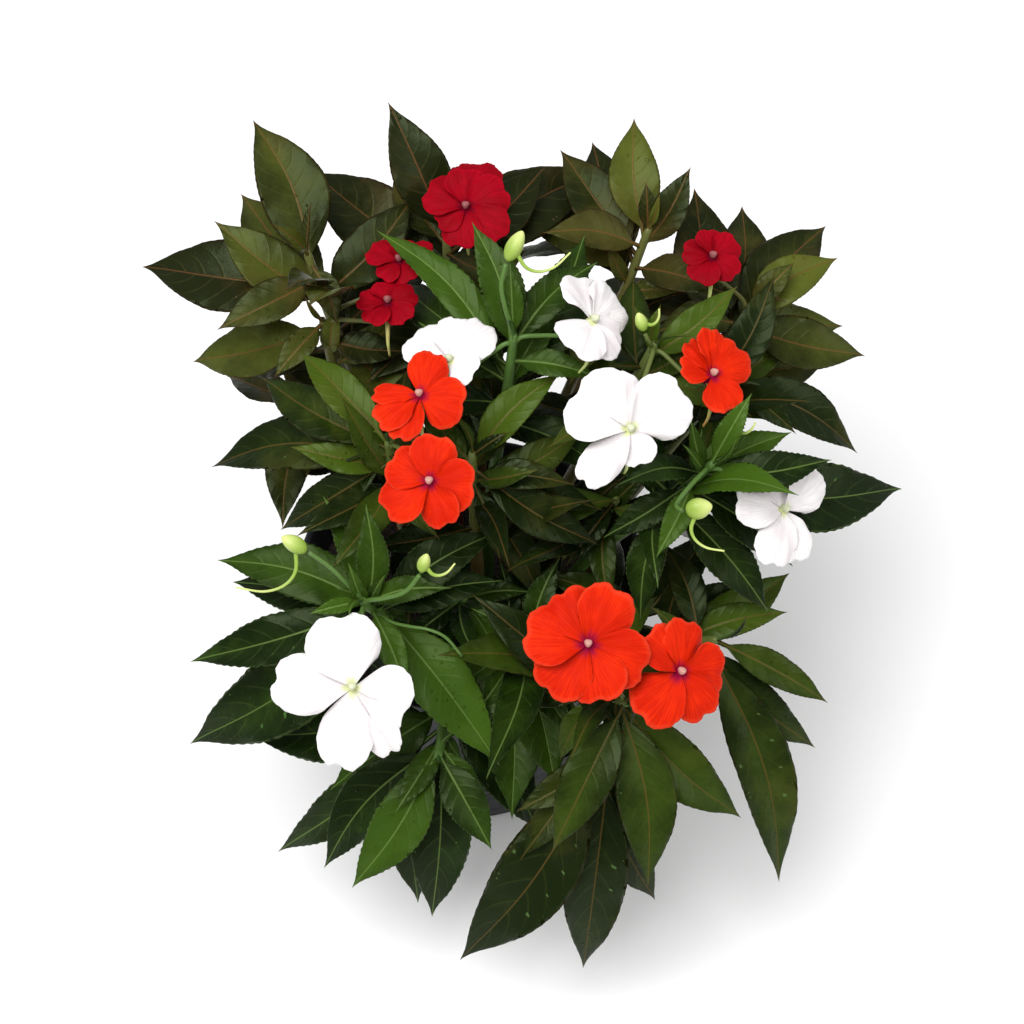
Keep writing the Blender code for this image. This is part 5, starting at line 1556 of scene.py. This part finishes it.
class AddSoil(bpy.types.Operator):
    """Adds the crumbly soil"""

    bl_idname = "busy_lizzie.add_soil"
    bl_label = "Soil"

    def execute(self, context):
        settings = context.scene.busy_lizzie_pot
        surface = Surface()
        surface.add(soil_grid(settings.crumbs), np.zeros(2), 0.5, flip=True)
        surface.make("soil_crumbs", "soil", "potting_soil", [soil_material(settings)])
        return {"FINISHED"}


def soil_grid(count):
    """Rings over the soil from its middle to its edge, then two under it: a shallow dome with crumbs on it.

    The crumbs are sums of products of sines across and along, which fade out at the edge.
    """
    rings = np.concatenate([np.linspace(0.0002, 1, count), [0.99, 0.0002]])
    turn = np.arange(SOIL_STEPS) * 2 * math.pi / SOIL_STEPS
    radius = rings[:, None] * SOIL_BOX[1].x * np.ones_like(turn)[None, :]
    x, y = radius * np.cos(turn), radius * np.sin(turn)
    top = SOIL_TOP + SOIL_DOME * (1 - rings[:, None] ** 2)
    crumb = sum(a * np.sin(x * f + p) * np.sin(y * f * 1.1 + 2 * p) for a, f, p in CRUMBS)
    z = top - SOIL_SUNK * np.ones_like(turn) + crumb * (1 - rings[:, None] ** 12)
    z[-2:] = SOIL_BOX[0].z
    scale = np.ones_like(z)
    scale[-2:] = SOIL_FOOT
    return np.stack([x * scale, y * scale, z], -1)


class AddStems(bpy.types.Operator):
    """Adds every leafy stem with its flower stalks"""

    bl_idname = "busy_lizzie.add_stems"
    bl_label = "Leafy Stems"

    def execute(self, context):
        settings = context.scene.busy_lizzie_plant
        lay_out_once()
        finishes = {k: [leaf_material(k, v, settings), stem_material(k, v)] for k, v in LOOKS.items()}
        for name, stem in ALL_STEMS.items():
            kind = stem["kind"]
            surface = Surface()
            for leaf in stem["blades"]:
                add_leaf(surface, leaf, settings.tooth_depth * KINDS[kind]["teeth"], settings)
            add_stem(surface, stem)
            surface.make("foliage_" + name, "stem_" + name, kind + "_kind_leaf", finishes[kind])
        return {"FINISHED"}


def add_stem(surface, stem):
    """The stem, which thins towards its head and swells at its joints, and its stalks.

    A bare stalk, which is always the last one, has withered thinner.
    """
    path = smooth_path(stem["path"], STEM_RINGS)
    share = np.linspace(0, 1, STEM_RINGS)
    rises = np.abs((share * STEM_JOINTS) % 1 - 0.5) * 2
    radii = STEM_RADIUS + (STEM_TIP_RADIUS - STEM_RADIUS) * share**2
    radii = radii * (0.96 + 0.10 * rises**6) * np.where(share > 0.985, 0.6, 1)
    add_rod(surface, path, radii, 14, np.concatenate([[0], share, [1]])[:, None], 1)
    for number, stalk in enumerate(stem["stalks"], 1):
        is_bare = "bare" in stem and number == len(stem["stalks"])
        radius = STALK_RADIUS * (BARE_SHARE if is_bare else 1.0)
        radii = radius * (1.25 - 0.25 * np.linspace(0, 1, STALK_RINGS) ** 0.5)
        add_rod(surface, smooth_path(stalk, STALK_RINGS), radii, 10, 0.9, 1)


class AddFlowers(bpy.types.Operator):
    """Adds the open flowers"""

    bl_idname = "busy_lizzie.add_flowers"
    bl_label = "Flowers"

    def execute(self, context):
        settings = context.scene.busy_lizzie_plant
        lay_out_once()
        finishes = {k: [petal_material(k, v, settings), knob_material(k, v), spur_material(k, v)]
                    for k, v in LOOKS.items()}
        for name, bloom in BLOOMS.items():
            surface = Surface()
            for number, petal in enumerate(bloom["petals"]):
                add_petal(surface, bloom, petal, number, settings)
            add_throat(surface, bloom)
            kind = bloom["kind"]
            surface.make("petals_" + name, "flower_" + name, kind + "_petal", finishes[kind])
        return {"FINISHED"}


def add_throat(surface, bloom):
    """The throat behind the petals, the bent knob of anthers in front of them, and the spur."""
    centre, facing = bloom["centre"], bloom["facing"]
    neck = np.array([centre + facing * k * MM for k in (-7, -5, -3, -1, 1.0)])
    radii = np.array(THROAT_RADII) * MM
    add_rod(surface, smooth_path(neck, len(radii)), radii, 14, 0.4, 0)
    knob = centre + facing * 2.9 * MM + bloom["up"] * 0.6 * MM
    add_ball(surface, knob, unit(facing - 0.35 * bloom["up"]), KNOB_SIZE, 0.5, 1, ribs=0.10, point=0.2)
    add_rod(surface, smooth_path(bloom["spur"], STALK_RINGS), SPUR_RADII, 10, 0.5, 2)


class AddBuds(bpy.types.Operator):
    """Adds the buds with their spurs"""

    bl_idname = "busy_lizzie.add_buds"
    bl_label = "Buds"

    def execute(self, context):
        settings = context.scene.busy_lizzie_plant
        lay_out_once()
        skin = bud_material(settings)
        for name, bud in BUDS.items():
            surface = Surface()
            size = np.array(bud["size"]) * MM
            add_ball(surface, bud["centre"], bud["axis"], size, 0.5, 0, 25, 24, ribs=0.05, point=0.35)
            add_rod(surface, smooth_path(bud["spur_path"], STALK_RINGS), BUD_SPUR_RADII, 10, 0.5, 0)
            surface.make(name + "_skin", name, "bud_green", [skin])
        return {"FINISHED"}


class AddStudio(bpy.types.Operator):
    """Adds the floor, the lights and the camera"""

    bl_idname = "busy_lizzie.add_studio"
    bl_label = "Studio"

    def execute(self, context):
        settings = context.scene.busy_lizzie_studio
        bpy.ops.mesh.primitive_plane_add(size=FLOOR_SIZE)
        floor = context.object
        floor.name = "studio_floor"
        floor.data.materials.append(floor_material())
        key = add_lamp("studio_key", *KEY_LAMP, settings.key_power)
        fill = add_lamp("studio_fill", *FILL_LAMP, settings.fill_power)
        world = bpy.data.worlds.new("studio")
        world.use_nodes = True
        background = world.node_tree.nodes["Background"]
        background.inputs["Color"].default_value = (1, 1, 1, 1)
        background.inputs["Strength"].default_value = settings.sky
        context.scene.world = world
        context.scene.view_settings.view_transform = "Standard"
        add_camera(context)
        return {"FINISHED"}


def add_lamp(name, where, size, power):
    """A square area lamp that points at the middle of the plant."""
    data = bpy.data.lights.new(name, "AREA")
    data.size, data.energy = size, power
    lamp = bpy.data.objects.new(name, data)
    bpy.context.scene.collection.objects.link(lamp)
    back = unit(np.array(where) - AIM)
    right = unit(np.cross(WORLD_UP, back))
    up = np.cross(back, right)
    lamp.matrix_world = Matrix([(*row, 0) for row in np.stack([right, up, back], 1)] + [(0, 0, 0, 1)])
    lamp.location = where
    return lamp


def add_camera(context):
    """The camera stands at the eye that the plant's places are written for."""
    data = bpy.data.cameras.new("studio_camera")
    data.sensor_width = SENSOR_WIDTH
    data.lens = SENSOR_WIDTH * EYE_DISTANCE / (2 * PICTURE_MIDDLE * PICTURE_SCALE)
    camera = bpy.data.objects.new("studio_camera", data)
    context.scene.collection.objects.link(camera)
    where = AIM + EYE_DISTANCE * SEEN_NEAR
    axes = np.stack([SEEN_RIGHT, SEEN_UP, SEEN_NEAR, where], 1)
    camera.matrix_world = Matrix([tuple(row) for row in axes] + [(0, 0, 0, 1)])
    context.scene.camera = camera


class BusyLizziePanel(bpy.types.Panel):
    """Lists the plant's pieces in the sidebar"""

    bl_idname = "VIEW3D_PT_busy_lizzie"
    bl_label = "Busy Lizzie"
    bl_space_type = "VIEW_3D"
    bl_region_type = "UI"
    bl_category = "Busy Lizzie"

    def draw(self, context):
        for name in SETTINGS:
            group = getattr(context.scene, name)
            box = self.layout.box()
            for key in group.__annotations__:
                box.prop(group, key)
        for operator in OPERATORS:
            self.layout.operator(operator.bl_idname)


OPERATORS = (AddPot, AddSoil, AddStems, AddFlowers, AddBuds, AddStudio)
SETTINGS = {
    "busy_lizzie_plant": PlantSettings,
    "busy_lizzie_pot": PotSettings,
    "busy_lizzie_studio": StudioSettings,
}


def register():
    for item in (*SETTINGS.values(), *OPERATORS, BusyLizziePanel):
        bpy.utils.register_class(item)
    for name, group in SETTINGS.items():
        setattr(bpy.types.Scene, name, PointerProperty(type=group))


def unregister():
    for name in SETTINGS:
        delattr(bpy.types.Scene, name)
    for item in (BusyLizziePanel, *reversed(OPERATORS), *SETTINGS.values()):
        bpy.utils.unregister_class(item)


def main():
    """Builds everything in order."""
    register()
    for item in list(bpy.data.objects):
        if item.name in ("Cube", "Light", "Camera"):
            bpy.data.objects.remove(item)
    for operator in OPERATORS:
        group, name = operator.bl_idname.split(".")
        getattr(getattr(bpy.ops, group), name)()


if __name__ == "__main__":
    main()
